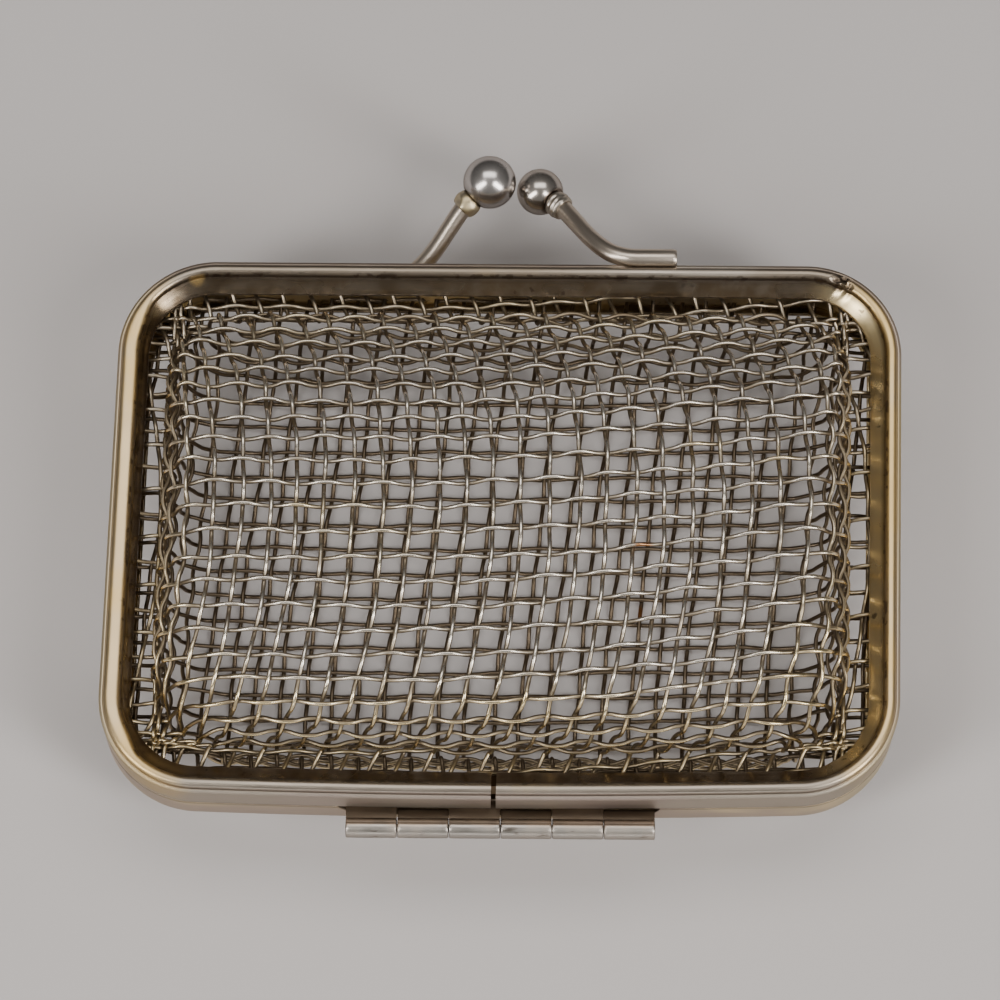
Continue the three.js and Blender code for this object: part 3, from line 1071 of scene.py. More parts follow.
@dataclass
class WireNet:
    """The woven wire cloth of one half, pressed into a tray.

    The slope is given as shares of its run towards the hinge and of its rise. A sway of the wires
    has its reach, its length and its share of the wire's own phase.
    """

    half: Half
    weave: Weave
    wire_radius: float = 0.218
    crimp: float = 0.27
    zigzag: float = 0.045
    sides: int = 8
    step: float = 0.3
    cloth_inset: float = 0.55
    foot_inset: float = 4.9
    wall_run: float = 5.0
    wall_power: float = 2.25
    foot_radius: float = 7.0
    face_radius: float = 11.0
    flange_lift: float = 1.4
    flange_end: float = 2.1
    slope_foot: float = 3.35
    slope_run: float = 22.0
    slope_soft: float = 0.5
    section_y: float = -5.0
    spacing_error: float = 0.05
    samples: int = 2600
    fewest_samples: int = 40
    fewest_points: int = 12
    spare: float = 6.0
    sways: tuple[tuple[float, float, float], ...] = ((0.10, 5.3, 2.4), (0.07, 2.1, 5.1))
    slope: tuple[tuple[float, float], ...] = (
        (-0.10, 0.0),
        (0.0, 0.08),
        (0.06, 0.17),
        (0.14, 0.28),
        (0.3, 0.49),
        (0.55, 0.78),
        (0.74, 0.9),
        (1.0, 1.0),
        (1.3, 1.12),
        (3.0, 1.8),
    )

    @property
    def foot(self) -> float:
        """The inset of the cloth's middle at the foot of its wall."""
        return self.foot_inset + self.cloth_inset

    @property
    def face_lift(self) -> float:
        """The height of the cloth's middle over the seam on the flat face."""
        return FORM.half_depth - self.cloth_inset

    def wall_lift(self, inset: np.ndarray) -> np.ndarray:
        """The cloth's height at an inset, on its wall, its face and the flange outside it.

        Args:
            inset: How far in from the outside each place lies.

        Returns:
            Heights above the seam.
        """
        share = np.clip((inset - self.foot) / self.wall_run, 0, 1)
        up = (1 - (1 - share) ** self.wall_power) ** (1 / self.wall_power)
        return self.flange_lift + (self.face_lift - self.flange_lift) * up

    def lift_at(self, inset: np.ndarray, y: np.ndarray) -> np.ndarray:
        """The cloth's height, with the front net pressed in towards the clasp.

        Args:
            inset: How far in from the outside each place lies.
            y: How far it lies towards the clasp.

        Returns:
            Heights above the seam.
        """
        lift = self.wall_lift(inset)
        if self.half is Half.BACK:
            return lift
        inward, up = np.array(self.slope).T
        share = (FORM.height / 2 - y - self.slope_foot) / self.slope_run
        rise = FORM.half_depth - FORM.flange_top
        pressed = FORM.flange_top - self.cloth_inset + rise * np.interp(share, inward, up)
        pressed = np.maximum(pressed, self.flange_lift)
        gap = lift - pressed
        return (lift + pressed - np.sqrt(gap**2 + self.slope_soft**2) + self.slope_soft) / 2

    def profile(self, half_size: float, along_y: bool, side: int) -> tuple[np.ndarray, np.ndarray]:
        """The cloth's section through its middle, from its flat middle out to its edge.

        Args:
            half_size: Half of the frame's size on that axis.
            along_y: Whether the section runs from hinge to clasp.
            side: 1 for the end at the right or the clasp, -1 for the other end.

        Returns:
            Lengths along the cloth, and the plan coordinates there.
        """
        steep = 0.1
        flat = np.linspace(0, half_size - self.foot - self.wall_run, 200)
        share = np.concatenate([np.linspace(1, steep, 200)[1:], steep * np.linspace(1, 0, 300)[1:] ** 3])
        wall = half_size - self.foot - self.wall_run * share
        flange = np.linspace(half_size - self.foot, half_size - self.flange_end, 20)[1:]
        plan = np.concatenate([flat, wall, flange])
        y = side * plan if along_y else np.full(len(plan), self.section_y)
        lift = self.lift_at(half_size - plan, y)
        run = np.concatenate([[0], np.cumsum(np.hypot(np.diff(plan), np.diff(lift)))])
        return run, plan

    def to_plan(self, cloth: np.ndarray, half_size: float, along_y: bool) -> np.ndarray:
        """Turns a length along the cloth from its middle into a plan coordinate.

        Args:
            cloth: Signed lengths along the cloth.
            half_size: Half of the frame's size on that axis.
            along_y: Whether the length runs from hinge to clasp.

        Returns:
            The plan coordinates.
        """
        plus_run, plus_plan = self.profile(half_size, along_y, 1)
        minus_run, minus_plan = self.profile(half_size, along_y, -1)
        plus = np.interp(cloth, plus_run, plus_plan)
        minus = -np.interp(-cloth, minus_run, minus_plan)
        return np.where(cloth >= 0, plus, minus)

    def reach(self, half_size: float, along_y: bool) -> float:
        """The longest length along the cloth from its middle to its edge."""
        return max(float(self.profile(half_size, along_y, side)[0][-1]) for side in (1, -1))

    def inset_at(self, plan: np.ndarray) -> np.ndarray:
        """How far in from the outside each square-cut plan point lies.

        Args:
            plan: Square-cut plan points.

        Returns:
            The inset of each point.
        """
        halvings = 26
        deepest = self.foot + self.wall_run + 2.0
        size = np.array([FORM.width / 2, FORM.height / 2])
        low = np.full(len(plan), 0.0)
        high = np.full(len(plan), deepest)
        for _ in range(halvings):
            middle = (low + high) / 2
            outside = self.beyond(plan, size, middle) > 0
            high = np.where(outside, middle, high)
            low = np.where(outside, low, middle)
        return (low + high) / 2

    def ring_radius(self, inset: np.ndarray) -> np.ndarray:
        """The corner radius of the tray's outline at an inset.

        Args:
            inset: How far in from the outside each outline lies.

        Returns:
            The radius of each outline's corners.
        """
        places = [self.flange_end, self.foot, self.foot + self.wall_run]
        radii = [FORM.corner_radius - self.flange_end, self.foot_radius, self.face_radius]
        return np.interp(inset, places, radii)

    def beyond(self, plan: np.ndarray, size: np.ndarray, inset: np.ndarray) -> np.ndarray:
        """How far plan points lie outside the rounded outline at an inset; negative is inside.

        Args:
            plan: Square-cut plan points.
            size: Half of the frame's width and height.
            inset: The outline's inset at each point.

        Returns:
            The distance of each point.
        """
        radius = self.ring_radius(inset)
        away = np.abs(plan) - (size - inset[:, None] - radius[:, None])
        outer = np.linalg.norm(np.maximum(away, 0), axis=1)
        inner = np.minimum(away.max(axis=1), 0)
        return outer + inner - radius

    def surface(self, cloth_x: np.ndarray, cloth_y: np.ndarray) -> tuple[np.ndarray, np.ndarray]:
        """Places of the pressed cloth.

        Args:
            cloth_x: Lengths along the cloth to the right.
            cloth_y: Lengths along the cloth towards the clasp.

        Returns:
            Points in the model's frame, and how far in from the outside each one lies.
        """
        plan_x = self.to_plan(cloth_x, FORM.width / 2, False)
        plan_y = self.to_plan(cloth_y, FORM.height / 2, True)
        plan = np.stack([plan_x, plan_y], axis=1)
        inset = self.inset_at(plan)
        lift = self.lift_at(inset, plan_y)
        return FORM.world(FORM.bend(plan), lift, self.half), inset

    def normals(self, cloth_x: np.ndarray, cloth_y: np.ndarray) -> np.ndarray:
        """Unit vectors out of the cloth.

        Args:
            cloth_x: Lengths along the cloth to the right.
            cloth_y: Lengths along the cloth towards the clasp.

        Returns:
            A vector for each place.
        """
        nudge = 0.08
        across = self.surface(cloth_x + nudge, cloth_y)[0] - self.surface(cloth_x - nudge, cloth_y)[0]
        ahead = self.surface(cloth_x, cloth_y + nudge)[0] - self.surface(cloth_x, cloth_y - nudge)[0]
        return unit(np.cross(across, ahead)) * self.half.value

    def warp_shift(self, along: np.ndarray) -> np.ndarray:
        """How far a wire from hinge to clasp stands to the right, at each place along it.

        Args:
            along: Lengths along the cloth towards the clasp.

        Returns:
            Shifts to the right.
        """
        if self.half is Half.FRONT:
            curve, middle = 0.0063, -0.8
            return -curve * (along - middle) ** 2
        lean, curve, bent_below = 0.09, 0.004, -8.0
        return lean * along + curve * np.minimum(along - bent_below, 0) ** 2

    def weft_shift(self, along: np.ndarray) -> np.ndarray:
        """How far a wire from left to right stands towards the clasp, at each place along it.

        Args:
            along: Lengths along the cloth to the right.

        Returns:
            Shifts towards the clasp.
        """
        if self.half is Half.BACK:
            lean = 0.006
            return lean * along
        lean, bow, middle, soft, drop = 0.055, 0.045, 1.0, 9.0, 0.55
        bend = bow * soft * np.log(np.cosh((along - middle) / soft))
        return lean * along + bend - drop

    def places(self, is_warp: bool, reach: float, random: np.random.Generator) -> np.ndarray:
        """Where a family of wires crosses the middle of the cloth.

        Args:
            is_warp: Whether the wires run from hinge to clasp.
            reach: The length along the cloth from its middle to its edge.
            random: The source of the small differences.

        Returns:
            The wires' places, in order.
        """
        pitch = self.weave.warp_pitch if is_warp else self.weave.weft_pitch
        start = self.weave.warp_start if is_warp else self.weave.weft_start
        crowding = 0.0 if is_warp else self.weave.crowding

        def spacing(place: float) -> float:
            """The distance from the wire at a place to the next one."""
            crowd = float(ramp(np.array(place), self.weave.crowd_from, self.weave.crowd_to))
            return pitch * (1 - crowding * crowd) * (1 + random.normal(0, self.spacing_error))

        upward, downward = [start], []
        while upward[-1] < reach:
            upward.append(upward[-1] + spacing(upward[-1]))
        place = start - spacing(start)
        while place > -reach:
            downward.append(place)
            place -= spacing(place)
        return np.array(downward[::-1] + upward)

    def wire_path(
        self, fixed: float, number: int, is_warp: bool, others: np.ndarray, phase: float
    ) -> tuple[np.ndarray, ...] | None:
        """The path of one wire over the tray.

        Args:
            fixed: The wire's place across the cloth.
            number: The wire's number in its family.
            is_warp: Whether it runs from hinge to clasp.
            others: The places of the wires that it crosses.
            phase: A number of its own, for its small bends.

        Returns:
            Centres, surface normals, crest heights and edge shares along the wire, or None if it is
            too short.
        """
        reach = self.reach(FORM.height / 2 if is_warp else FORM.width / 2, is_warp)
        along = np.linspace(-reach, reach, self.samples)
        sway = sum(far * np.sin(along / length + phase * share) for far, length, share in self.sways)
        if is_warp:
            cloth_x = fixed + self.warp_shift(along) + sway
            cloth_y = along
            met = cloth_y - self.weft_shift(cloth_x)
        else:
            cloth_x = along
            cloth_y = fixed + self.weft_shift(along) + sway
            met = cloth_x - self.warp_shift(cloth_y)
        index = np.interp(met, others, np.arange(len(others)))
        crest = (1 if is_warp else -1) * np.cos(math.pi * (index + number))
        if is_warp:
            cloth_x = cloth_x + self.zigzag * crest
        else:
            cloth_y = cloth_y + self.zigzag * crest

        base, inset = self.surface(cloth_x, cloth_y)
        kept = inset > self.flange_end
        if kept.sum() < self.fewest_samples:
            return None
        first, last = np.flatnonzero(kept)[[0, -1]]
        span = slice(first, last + 1)
        normal = self.normals(cloth_x[span], cloth_y[span])
        edge = 1 - ramp((inset[span] - self.foot) / self.wall_run, 0.1, 1.2)
        base, normal, crest, edge = evenly(base[span], self.step, normal, crest[span], edge)
        normal = unit(softened(normal, 4))
        fullness = 0.28
        shaped = crest * (1 + fullness - fullness * crest**2)
        centres = softened(base, 1) + normal * shaped * self.crimp
        return centres, normal, crest[:, 0], edge[:, 0]

    def family(self, is_warp: bool, finish: bpy.types.Material) -> bpy.types.Object:
        """Makes all the wires that run one way.

        Args:
            is_warp: Whether they run from hinge to clasp.
            finish: The material.

        Returns:
            The piece.
        """
        random = np.random.default_rng(self.weave.seed)
        warp = self.places(True, self.reach(FORM.width / 2, False) + self.spare, random)
        weft = self.places(False, self.reach(FORM.height / 2, True) + self.spare, random)
        mine, others = (warp, weft) if is_warp else (weft, warp)
        kind = "warp" if is_warp else "weft"
        maker = MeshMaker(f"{self.half.body}_net_{kind}")
        for number, fixed in enumerate(mine):
            phase = float(random.uniform(0, 6))
            path = self.wire_path(float(fixed), number, is_warp, others, phase)
            if path is None or len(path[0]) < self.fewest_points:
                continue
            centres, normal, crest, edge = path
            lift = np.abs(centres[:, 2] - FORM.half_depth)
            radii = np.full(len(centres), self.wire_radius)
            tube(maker, centres, normal, radii, self.sides, crest=crest, edge=edge, lift=lift)
        return seat(maker.make(60), self.half, finish, f"{self.half.body}_mesh_tray")

    def build(self, finish: bpy.types.Material) -> list[bpy.types.Object]:
        """Makes both families of wires."""
        return [self.family(True, finish), self.family(False, finish)]


@dataclass
class Clasp:
    """The bent arm and the ball of one half.

    The run of the bend is given as shares of the way to the ball along each axis. A groove of the
    collar has its place, its width and its depth.
    """

    half: Half
    ball_radius: float
    ball_x: float
    ball_y: float
    bend_x: float
    brassy: bool
    middle_x: float = 0.825
    end_x: float = 16.65
    arm_radius: float = 0.95
    stand_off: float = 0.6
    arm_height: float = 4.2
    ball_drop: float = 1.0
    collar_radius: float = 1.4
    collar_length: float = 1.3
    arm_step: float = 0.22
    arm_sides: int = 32
    cut_round: float = 0.12
    cut_taper: float = 0.12
    uneven: float = 0.03
    uneven_length: float = 2.3
    buried: float = 0.6
    ball_rings: int = 44
    ball_sides: int = 56
    neck_rings: int = 16
    grooves: tuple[tuple[float, float, float], ...] = ((0.62, 0.07, 0.16), (0.3, 0.06, 0.1))
    run: tuple[tuple[float, float, float], ...] = (
        (0.0, 0.0, 0.0),
        (0.12, 0.02, 0.02),
        (0.25, 0.075, 0.07),
        (0.38, 0.19, 0.18),
        (0.51, 0.36, 0.35),
        (0.63, 0.55, 0.55),
        (0.77, 0.76, 0.77),
        (1.0, 1.0, 1.0),
    )

    @property
    def ball_centre(self) -> np.ndarray:
        """The middle of the ball."""
        z = FORM.half_depth - self.half.value * self.ball_drop
        return np.array([self.ball_x, self.ball_y, z])

    def arm_path(self) -> np.ndarray:
        """The arm's centre line, from its flat end to the ball.

        Returns:
            The line's points.
        """
        foot_y = FORM.height / 2 + self.stand_off
        foot_z = FORM.half_depth + self.half.value * self.arm_height
        foot = np.array([self.middle_x + self.half.value * self.bend_x, foot_y, foot_z])
        end = np.array([self.middle_x + self.half.value * self.end_x, foot_y, foot_z])
        shares = np.array(self.run)
        bent = foot + (self.ball_centre - foot) * shares
        knots = np.concatenate([[end, end + (foot - end) * 0.5], bent])
        return smooth_path(knots, 24)

    def build_arm(self, finish: bpy.types.Material) -> bpy.types.Object:
        """Makes the arm, with a flat cut end.

        Args:
            finish: The material.

        Returns:
            The piece.
        """
        path = evenly(self.arm_path(), self.arm_step)[0]
        path = path[: -int(self.ball_radius * self.buried / self.arm_step)]
        run = np.arange(len(path)) * self.arm_step
        cut = np.clip(run / self.cut_round, 0, 1)
        radii = self.arm_radius * (1 - self.cut_taper * (1 - np.sqrt(1 - (1 - cut) ** 2)))
        uneven = 1 + self.uneven * np.sin(run / self.uneven_length)
        maker = MeshMaker(f"{self.half.body}_clasp_arm")
        upward = np.tile([0.0, 0.3, 1.0], (len(path), 1))
        levels = {"scuff": 0.0, "crease": 0.0, "inset": 1.0, "lift": 4.0}
        values = {key: np.full(len(path), level) for key, level in levels.items()}
        tube(maker, path, upward, radii * uneven, self.arm_sides, **values)
        return seat(maker.make(50), self.half, finish, self.half.frame_node)

    def ball_profile(self) -> tuple[np.ndarray, np.ndarray, float]:
        """The turned outline of the collar and the ball, from the arm outwards.

        Returns:
            Radii, heights from the ball's middle, and the height of the collar's top.
        """
        start = math.asin(self.collar_radius / self.ball_radius)
        low = -(self.ball_radius + self.collar_length)
        high = -self.ball_radius * math.cos(start)
        profile = [(self.arm_radius * 0.98, low)]
        for share in np.linspace(0, 1, self.neck_rings):
            swell = math.sin(math.pi * share) ** 0.5
            width = self.arm_radius + (self.collar_radius - self.arm_radius) * (0.35 + 0.65 * swell)
            if not self.brassy:
                width -= sum(d * math.exp(-(((share - at) / w) ** 2)) for at, w, d in self.grooves)
            profile.append((width, low + (high - low) * share))
        first = start * 0.93
        for step in range(1, self.ball_rings + 1):
            angle = first + (math.pi - first) * step / self.ball_rings
            width = max(self.ball_radius * math.sin(angle), 0.002)
            profile.append((width, -self.ball_radius * math.cos(angle)))
        radius, height = np.array(profile).T
        return radius, height, high

    def build_ball(self, finish: bpy.types.Material) -> bpy.types.Object:
        """Makes the ball and its collar as one turned form along the arm's last stretch.

        Args:
            finish: The material.

        Returns:
            The piece.
        """
        radius, height, top = self.ball_profile()
        turn = np.arange(self.ball_sides) * 2 * math.pi / self.ball_sides
        upright = np.repeat(height[:, None], self.ball_sides, 1)
        across, ahead = radius[:, None] * np.cos(turn), radius[:, None] * np.sin(turn)
        local = np.stack([across, upright, ahead], axis=-1)
        collar = 1 - ramp(upright, top - 0.15, top + 0.1)
        lump = 0.06 if self.brassy else 0.03
        lumps = lump * wobble(local, scale=0.8, shift=2.0) * collar
        local = local * (1 + lumps)[..., None]
        # painted shade along the join of the collar and the ball
        crease = 0.8 * np.exp(-(((upright - top - 0.02) / 0.11) ** 2))
        path = self.arm_path()
        turned = Vector((0, 1, 0)).rotation_difference(Vector(unit(path[-1] - path[-8]))).to_matrix()
        maker = MeshMaker(f"{self.half.body}_ball_and_collar")
        points = local @ np.array(turned).T + self.ball_centre
        maker.grid(points, False, True, collar=collar, crease=crease)
        maker.cap(0, self.ball_sides, False)
        maker.cap((len(radius) - 1) * self.ball_sides, self.ball_sides, True)
        return seat(maker.make(60), self.half, finish, f"{self.half.body}_clasp_ball")


def smooth_path(knots: np.ndarray, steps: int) -> np.ndarray:
    """A smooth curve through a few points.

    Args:
        knots: The points.
        steps: Segments between each point and the next.

    Returns:
        The curve's points.
    """
    padded = np.concatenate([[2 * knots[0] - knots[1]], knots, [2 * knots[-1] - knots[-2]]])
    made = []
    for index in range(len(knots) - 1):
        p0, p1, p2, p3 = padded[index : index + 4]
        for share in np.arange(steps) / steps:
            a = 2 * p1 + (p2 - p0) * share
            b = (2 * p0 - 5 * p1 + 4 * p2 - p3) * share**2
            c = (-p0 + 3 * p1 - 3 * p2 + p3) * share**3
            made.append((a + b + c) / 2)
    made.append(knots[-1])
    return np.array(made)


@dataclass
class Hinge:
    """The knuckles, leaves and pin along the hinge side.

    A knuckle's rounded end is a line of places: how far inside the knuckle's radius each one is, and
    how far from its end. The pin's end has shares of its half length, and shares of its radius.
    """

    radius: float = 1.0
    gap: float = 0.07
    leaf: float = 0.5
    leaf_drop: float = 3.4
    pin_radius: float = 0.4
    leaf_rise: float = 0.72
    leaf_gap: float = 0.2
    leaf_sunk: float = 0.1
    sides: int = 56
    bore_gap: float = 0.12
    bore_depth: float = 0.35
    rounded_end: tuple[tuple[float, float], ...] = ((0.14, 0.0), (0.04, 0.04), (0.0, 0.16))
    seam_turn: float = 112.0
    seam_width: float = 4.5
    seam_depth: float = 0.07
    dent: float = 0.02
    pin_sides: int = 28
    pin_end: tuple[tuple[float, float], ...] = ((1.0, 0.5), (0.995, 0.85), (0.985, 1.05), (0.96, 1.0))

    def half_of(self, number: int) -> Half:
        """The half that a knuckle belongs to, counted from the left."""
        return Half.FRONT if number % 2 == 0 else Half.BACK

    def span(self, number: int) -> tuple[float, float]:
        """Where a knuckle starts and ends along X."""
        start = FORM.hinge_middle - FORM.hinge_length / 2 + number * FORM.knuckle_length
        return start + self.gap / 2, start + FORM.knuckle_length - self.gap / 2

    def knuckle(self, number: int, finish: bpy.types.Material) -> bpy.types.Object:
        """Makes one knuckle: a rolled tube with rounded ends and the seam of its roll.

        Args:
            number: The knuckle's number, from 0 at the left.
            finish: The material.

        Returns:
            The piece.
        """
        half = self.half_of(number)
        left, right = self.span(number)
        length = right - left
        turn = np.arange(self.sides) * 2 * math.pi / self.sides
        seam = np.exp(-(((np.degrees(turn) - self.seam_turn) / self.seam_width) ** 2))
        bore = self.pin_radius + self.bore_gap
        profile = [(bore, self.bore_depth), (bore, 0.02)]
        profile += [(self.radius - inside, along) for inside, along in self.rounded_end]
        straight = self.rounded_end[-1][1]
        shares = np.linspace(0, 1, 14)[1:-1]
        middle = [(self.radius, straight + (length - 2 * straight) * share) for share in shares]
        mirrored = [(radius, length - x) for radius, x in profile[::-1]]
        radius, x = np.array(profile + middle + mirrored).T
        shown = (radius > self.radius - 0.2)[:, None]
        ring = radius[:, None] - self.seam_depth * seam * shown
        places = np.repeat((left + x)[:, None], self.sides, 1)
        behind = FORM.hinge_y - ring * np.cos(turn)
        above = FORM.half_depth + ring * np.sin(turn)
        points = np.stack([places, behind, above], axis=-1)
        points[..., 2] += self.dent * wobble(points, scale=1.7, shift=4.0 + number) * shown
        # painted shade along the roll's seam groove and at the bored ends of each knuckle
        edge = 1 - ramp(radius, self.radius - 0.15, self.radius - 0.02)
        crease = np.maximum(seam * 0.7, edge[:, None])
        maker = MeshMaker(f"knuckle_{number + 1}")
        maker.grid(points, True, True, crease=np.broadcast_to(crease, points.shape[:2]))
        return seat(maker.make(50), half, finish, half.frame_node)

    def leaf_plate(self, number: int, finish: bpy.types.Material) -> bpy.types.Object:
        """Makes the leaf between a knuckle and its frame, a bent plate with rounded edges.

        Args:
            number: The knuckle's number, from 0 at the left.
            finish: The material.

        Returns:
            The piece.
        """
        half = self.half_of(number)
        left, right = self.span(number)
        inside = half is Half.FRONT
        near = FORM.hinge_y + self.pin_radius + self.leaf_gap
        wall = FORM.wall_y + (FORM.wall if inside else 0.0)
        away = wall + (self.leaf if inside else self.leaf_sunk)
        low = -self.leaf / 2 if inside else FORM.edge
        high = self.leaf_rise if inside else self.leaf_drop
        back = wall if inside else wall - self.leaf
        corners = (
            Corner(near, low, 0.05),
            Corner(near, low + self.leaf, 0.05),
            Corner(back, low + self.leaf, 0.12),
            Corner(back, high, 0.1),
            Corner(away, high, 0.1),
            Corner(away, low, 0.2),
        )
        section = rounded_section(corners, arc_steps=4, longest=0.8)
        steps = np.linspace(left, right, 12)
        points = np.array(
            [[(x, y, FORM.half_depth + half.value * lift) for x in steps] for y, lift in section]
        )
        points[..., 2] += self.dent * wobble(points, scale=1.5, shift=8.0 + number)
        # painted shade over most of the leaf, with a painted highlight along its top edge
        wear_and_sheen = ramp(section[:, 1], high - 0.5, high - 0.1)
        crease = np.repeat((0.93 - 0.6 * wear_and_sheen)[:, None], len(steps), 1)
        maker = MeshMaker(f"hinge_leaf_{number + 1}")
        maker.grid(points, True, False, crease=crease)
        maker.close_ends(len(steps))
        return seat(maker.make(40), half, finish, half.frame_node)

    def pin(self, finish: bpy.types.Material) -> bpy.types.Object:
        """Makes the pin, with rounded, slightly spread ends.

        Args:
            finish: The material.

        Returns:
            The piece.
        """
        half_length = FORM.hinge_length / 2
        along, width = np.array(self.pin_end).T
        run = np.concatenate([-along, [0.0], along[::-1]]) * half_length
        radii = np.concatenate([width, [1.0], width[::-1]]) * self.pin_radius
        level = np.ones(len(run))
        centres = np.stack(
            [FORM.hinge_middle + run, level * FORM.hinge_y, level * FORM.half_depth], axis=1
        )
        upward = np.tile([0.0, 0.0, 1.0], (len(run), 1))
        maker = MeshMaker("hinge_pin_dressed")
        # painted shade over the whole pin, which sits inside the knuckles
        tube(maker, centres, upward, radii, self.pin_sides, crease=level * 0.4)
        return seat(maker.make(60), Half.BACK, finish, "hinge_pin")

    def build(self, finish: bpy.types.Material) -> list[bpy.types.Object]:
        """Makes the whole hinge.

        Args:
            finish: The material.

        Returns:
            The pieces.
        """
        made = [self.pin(finish)]
        for number in range(FORM.knuckle_count):
            made.append(self.knuckle(number, finish))
            made.append(self.leaf_plate(number, finish))
        return made


@dataclass(frozen=True)
class Lamp:
    """A soft rectangular light: its place, its aim and its size in metres, and its power in watts."""

    name: str
    place: tuple[float, float, float]
    aim: tuple[float, float, float]
    size: tuple[float, float]
    power: float


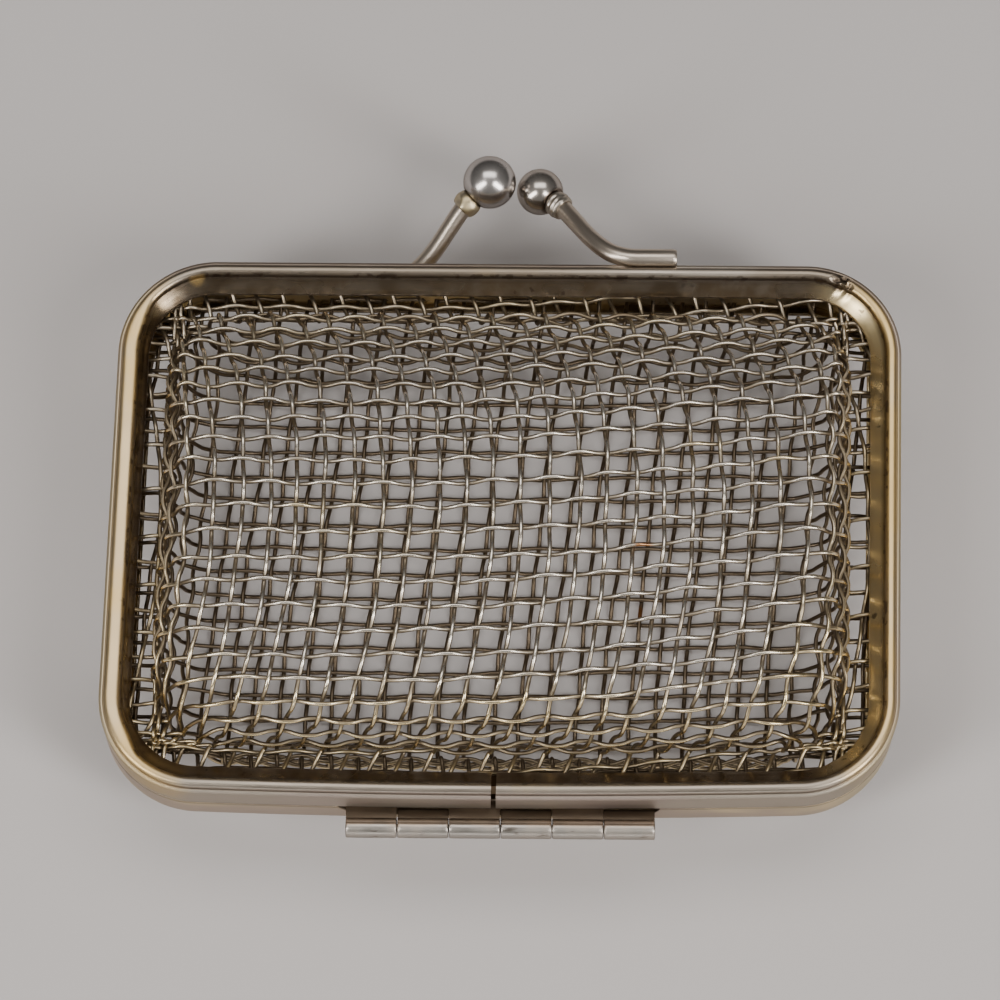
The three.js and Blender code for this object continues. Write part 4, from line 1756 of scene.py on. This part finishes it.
@dataclass
class Studio:
    """The floor, the sky, the lights and the camera.

    The sky grades from dim to bright along the brighter way: each end has its share of that way and
    its strength.
    """

    floor_size: float = 3.0
    camera_target: tuple[float, float, float] = (-0.49, 3.68, 12.5)
    camera_distance: float = 469.4
    camera_elevation: float = 72.5
    camera_roll: float = 0.42
    camera_lens: float = 165.7
    light_colour: tuple[float, float, float] = (1.0, 0.975, 0.945)
    floor_colour: Colour = (0.50, 0.474, 0.466, 1)
    floor_roughness: float = 0.8
    sky_colour: Colour = (1.0, 0.975, 0.94, 1)
    brighter_way: tuple[float, float, float] = (0.0, -0.4, 0.92)
    sky_dim: tuple[float, float] = (-0.35, 0.06)
    sky_bright: tuple[float, float] = (0.92, 0.27)
    lamps: tuple[Lamp, ...] = (
        Lamp("overhead", (0.0, 0.20, 0.72), (0, 0, 0), (0.7, 0.3), 1.9),
        Lamp("right_strip", (0.32, -0.24, 0.34), (0.02, -0.1, 0), (0.12, 0.42), 2.0),
        Lamp("left_strip", (-0.32, -0.22, 0.34), (-0.02, -0.1, 0), (0.12, 0.42), 1.7),
        Lamp("low_front", (0.0, -0.55, 0.115), (0, 0, 0.01), (0.9, 0.09), 0.8),
    )

    def floor(self) -> bpy.types.Object:
        """Makes the plain pale floor.

        Returns:
            The floor.
        """
        steps = np.linspace(-self.floor_size / 2, self.floor_size / 2, 9) / MM
        points = np.array([[(x, y, 0.0) for x in steps] for y in steps])
        maker = MeshMaker("floor")
        maker.grid(points, False, False)
        floor = maker.make()
        nodes = Nodes("pale_floor")
        shader = nodes.add("BsdfPrincipled")
        shader.inputs["Base Color"].default_value = self.floor_colour
        shader.inputs["Roughness"].default_value = self.floor_roughness
        nodes.put(nodes.output.inputs["Surface"], shader.outputs[0])
        floor.data.materials.append(nodes.material)
        return floor

    def light(self, lamp: Lamp) -> bpy.types.Object:
        """Adds a soft rectangular light.

        Args:
            lamp: The light's place, aim, size and power.

        Returns:
            The light.
        """
        data = bpy.data.lights.new(lamp.name, "AREA")
        data.shape = "RECTANGLE"
        data.size, data.size_y = lamp.size
        data.energy = lamp.power
        data.color = self.light_colour
        made = bpy.data.objects.new(lamp.name, data)
        made.location = lamp.place
        made.rotation_mode = "QUATERNION"
        made.rotation_quaternion = (Vector(lamp.aim) - Vector(lamp.place)).to_track_quat("-Z", "Y")
        bpy.context.scene.collection.objects.link(made)
        return made

    def sky(self) -> None:
        """Gives the room a soft light, brightest overhead and dimmest beyond the clasp side."""
        world = bpy.data.worlds.new("studio")
        bpy.context.scene.world = world
        world.use_nodes = True
        tree = world.node_tree
        tree.nodes.clear()
        output = tree.nodes.new("ShaderNodeOutputWorld")
        background = tree.nodes.new("ShaderNodeBackground")
        place = tree.nodes.new("ShaderNodeTexCoord")
        tilt = tree.nodes.new("ShaderNodeVectorMath")
        tilt.operation = "DOT_PRODUCT"
        tilt.inputs[1].default_value = self.brighter_way
        grade = tree.nodes.new("ShaderNodeMapRange")
        for end, (share, strength) in (("Min", self.sky_dim), ("Max", self.sky_bright)):
            grade.inputs[f"From {end}"].default_value = share
            grade.inputs[f"To {end}"].default_value = strength
        tree.links.new(place.outputs["Generated"], tilt.inputs[0])
        tree.links.new(tilt.outputs["Value"], grade.inputs["Value"])
        tree.links.new(grade.outputs[0], background.inputs["Strength"])
        background.inputs["Color"].default_value = self.sky_colour
        tree.links.new(background.outputs[0], output.inputs["Surface"])

    def camera(self) -> bpy.types.Object:
        """Places the camera at the photo's angle.

        Returns:
            The camera.
        """
        elevation = math.radians(self.camera_elevation)
        target = Vector(self.camera_target) * MM
        back = Vector((0, -math.cos(elevation), math.sin(elevation)))
        data = bpy.data.cameras.new("camera")
        data.lens = self.camera_lens
        data.sensor_width = 36.0
        data.clip_start = 0.01
        made = bpy.data.objects.new("camera", data)
        made.location = target + back * self.camera_distance * MM
        made.rotation_mode = "QUATERNION"
        look = (-back).to_track_quat("-Z", "Y").to_matrix()
        roll = Matrix.Rotation(math.radians(self.camera_roll), 3, "Z")
        made.rotation_quaternion = (look @ roll).to_quaternion()
        bpy.context.scene.collection.objects.link(made)
        bpy.context.scene.camera = made
        return made

    def build(self) -> None:
        """Sets up the whole studio."""
        self.floor()
        self.sky()
        for lamp in self.lamps:
            self.light(lamp)
        self.camera()


def main() -> None:
    """Builds the purse, piece by piece."""
    logging.basicConfig(level=logging.INFO, format="%(message)s")
    Studio().build()

    front_metal = PlatedFrame("front_plate").material()
    back_metal = PlatedFrame("back_plate", brass=(0.80, 0.66, 0.42, 1), gold_share=0.8).material()
    arm_metal = PlatedFrame("arm_plate", silver=(0.52, 0.455, 0.385, 1), clasp_side_darkening=0.1).material()
    wire = NetWire().material()
    hinge_metal = HingeSteel().material()

    FrameStrip(Half.FRONT).build(front_metal)
    FrameStrip(Half.BACK).build(back_metal)
    front_weave = Weave(
        warp_pitch=2.88, weft_pitch=2.5, warp_start=-1.2, weft_start=0.4, seed=7, crowding=0.17
    )
    back_weave = Weave(warp_pitch=2.79, weft_pitch=2.59, warp_start=0.5, weft_start=-0.3, seed=19)
    WireNet(Half.FRONT, front_weave).build(wire)
    WireNet(Half.BACK, back_weave).build(wire)

    front_clasp = Clasp(Half.FRONT, ball_radius=2.42, ball_x=3.46, ball_y=37.75, bend_x=12.4, brassy=False)
    back_clasp = Clasp(Half.BACK, ball_radius=2.75, ball_x=-1.81, ball_y=38.0, bend_x=13.9, brassy=True)
    front_nickel = PolishedBall("front_ball_nickel", nickel=(0.50, 0.46, 0.42, 1), collar_brass=0.35)
    back_nickel = PolishedBall("back_ball_nickel", nickel=(0.56, 0.53, 0.51, 1), collar_brass=0.9)
    for clasp, nickel in ((front_clasp, front_nickel), (back_clasp, back_nickel)):
        clasp.build_arm(arm_metal)
        clasp.build_ball(nickel.material())

    JointTongue().build(hinge_metal)
    Hinge().build(hinge_metal)


if __name__ == "__main__":
    main()
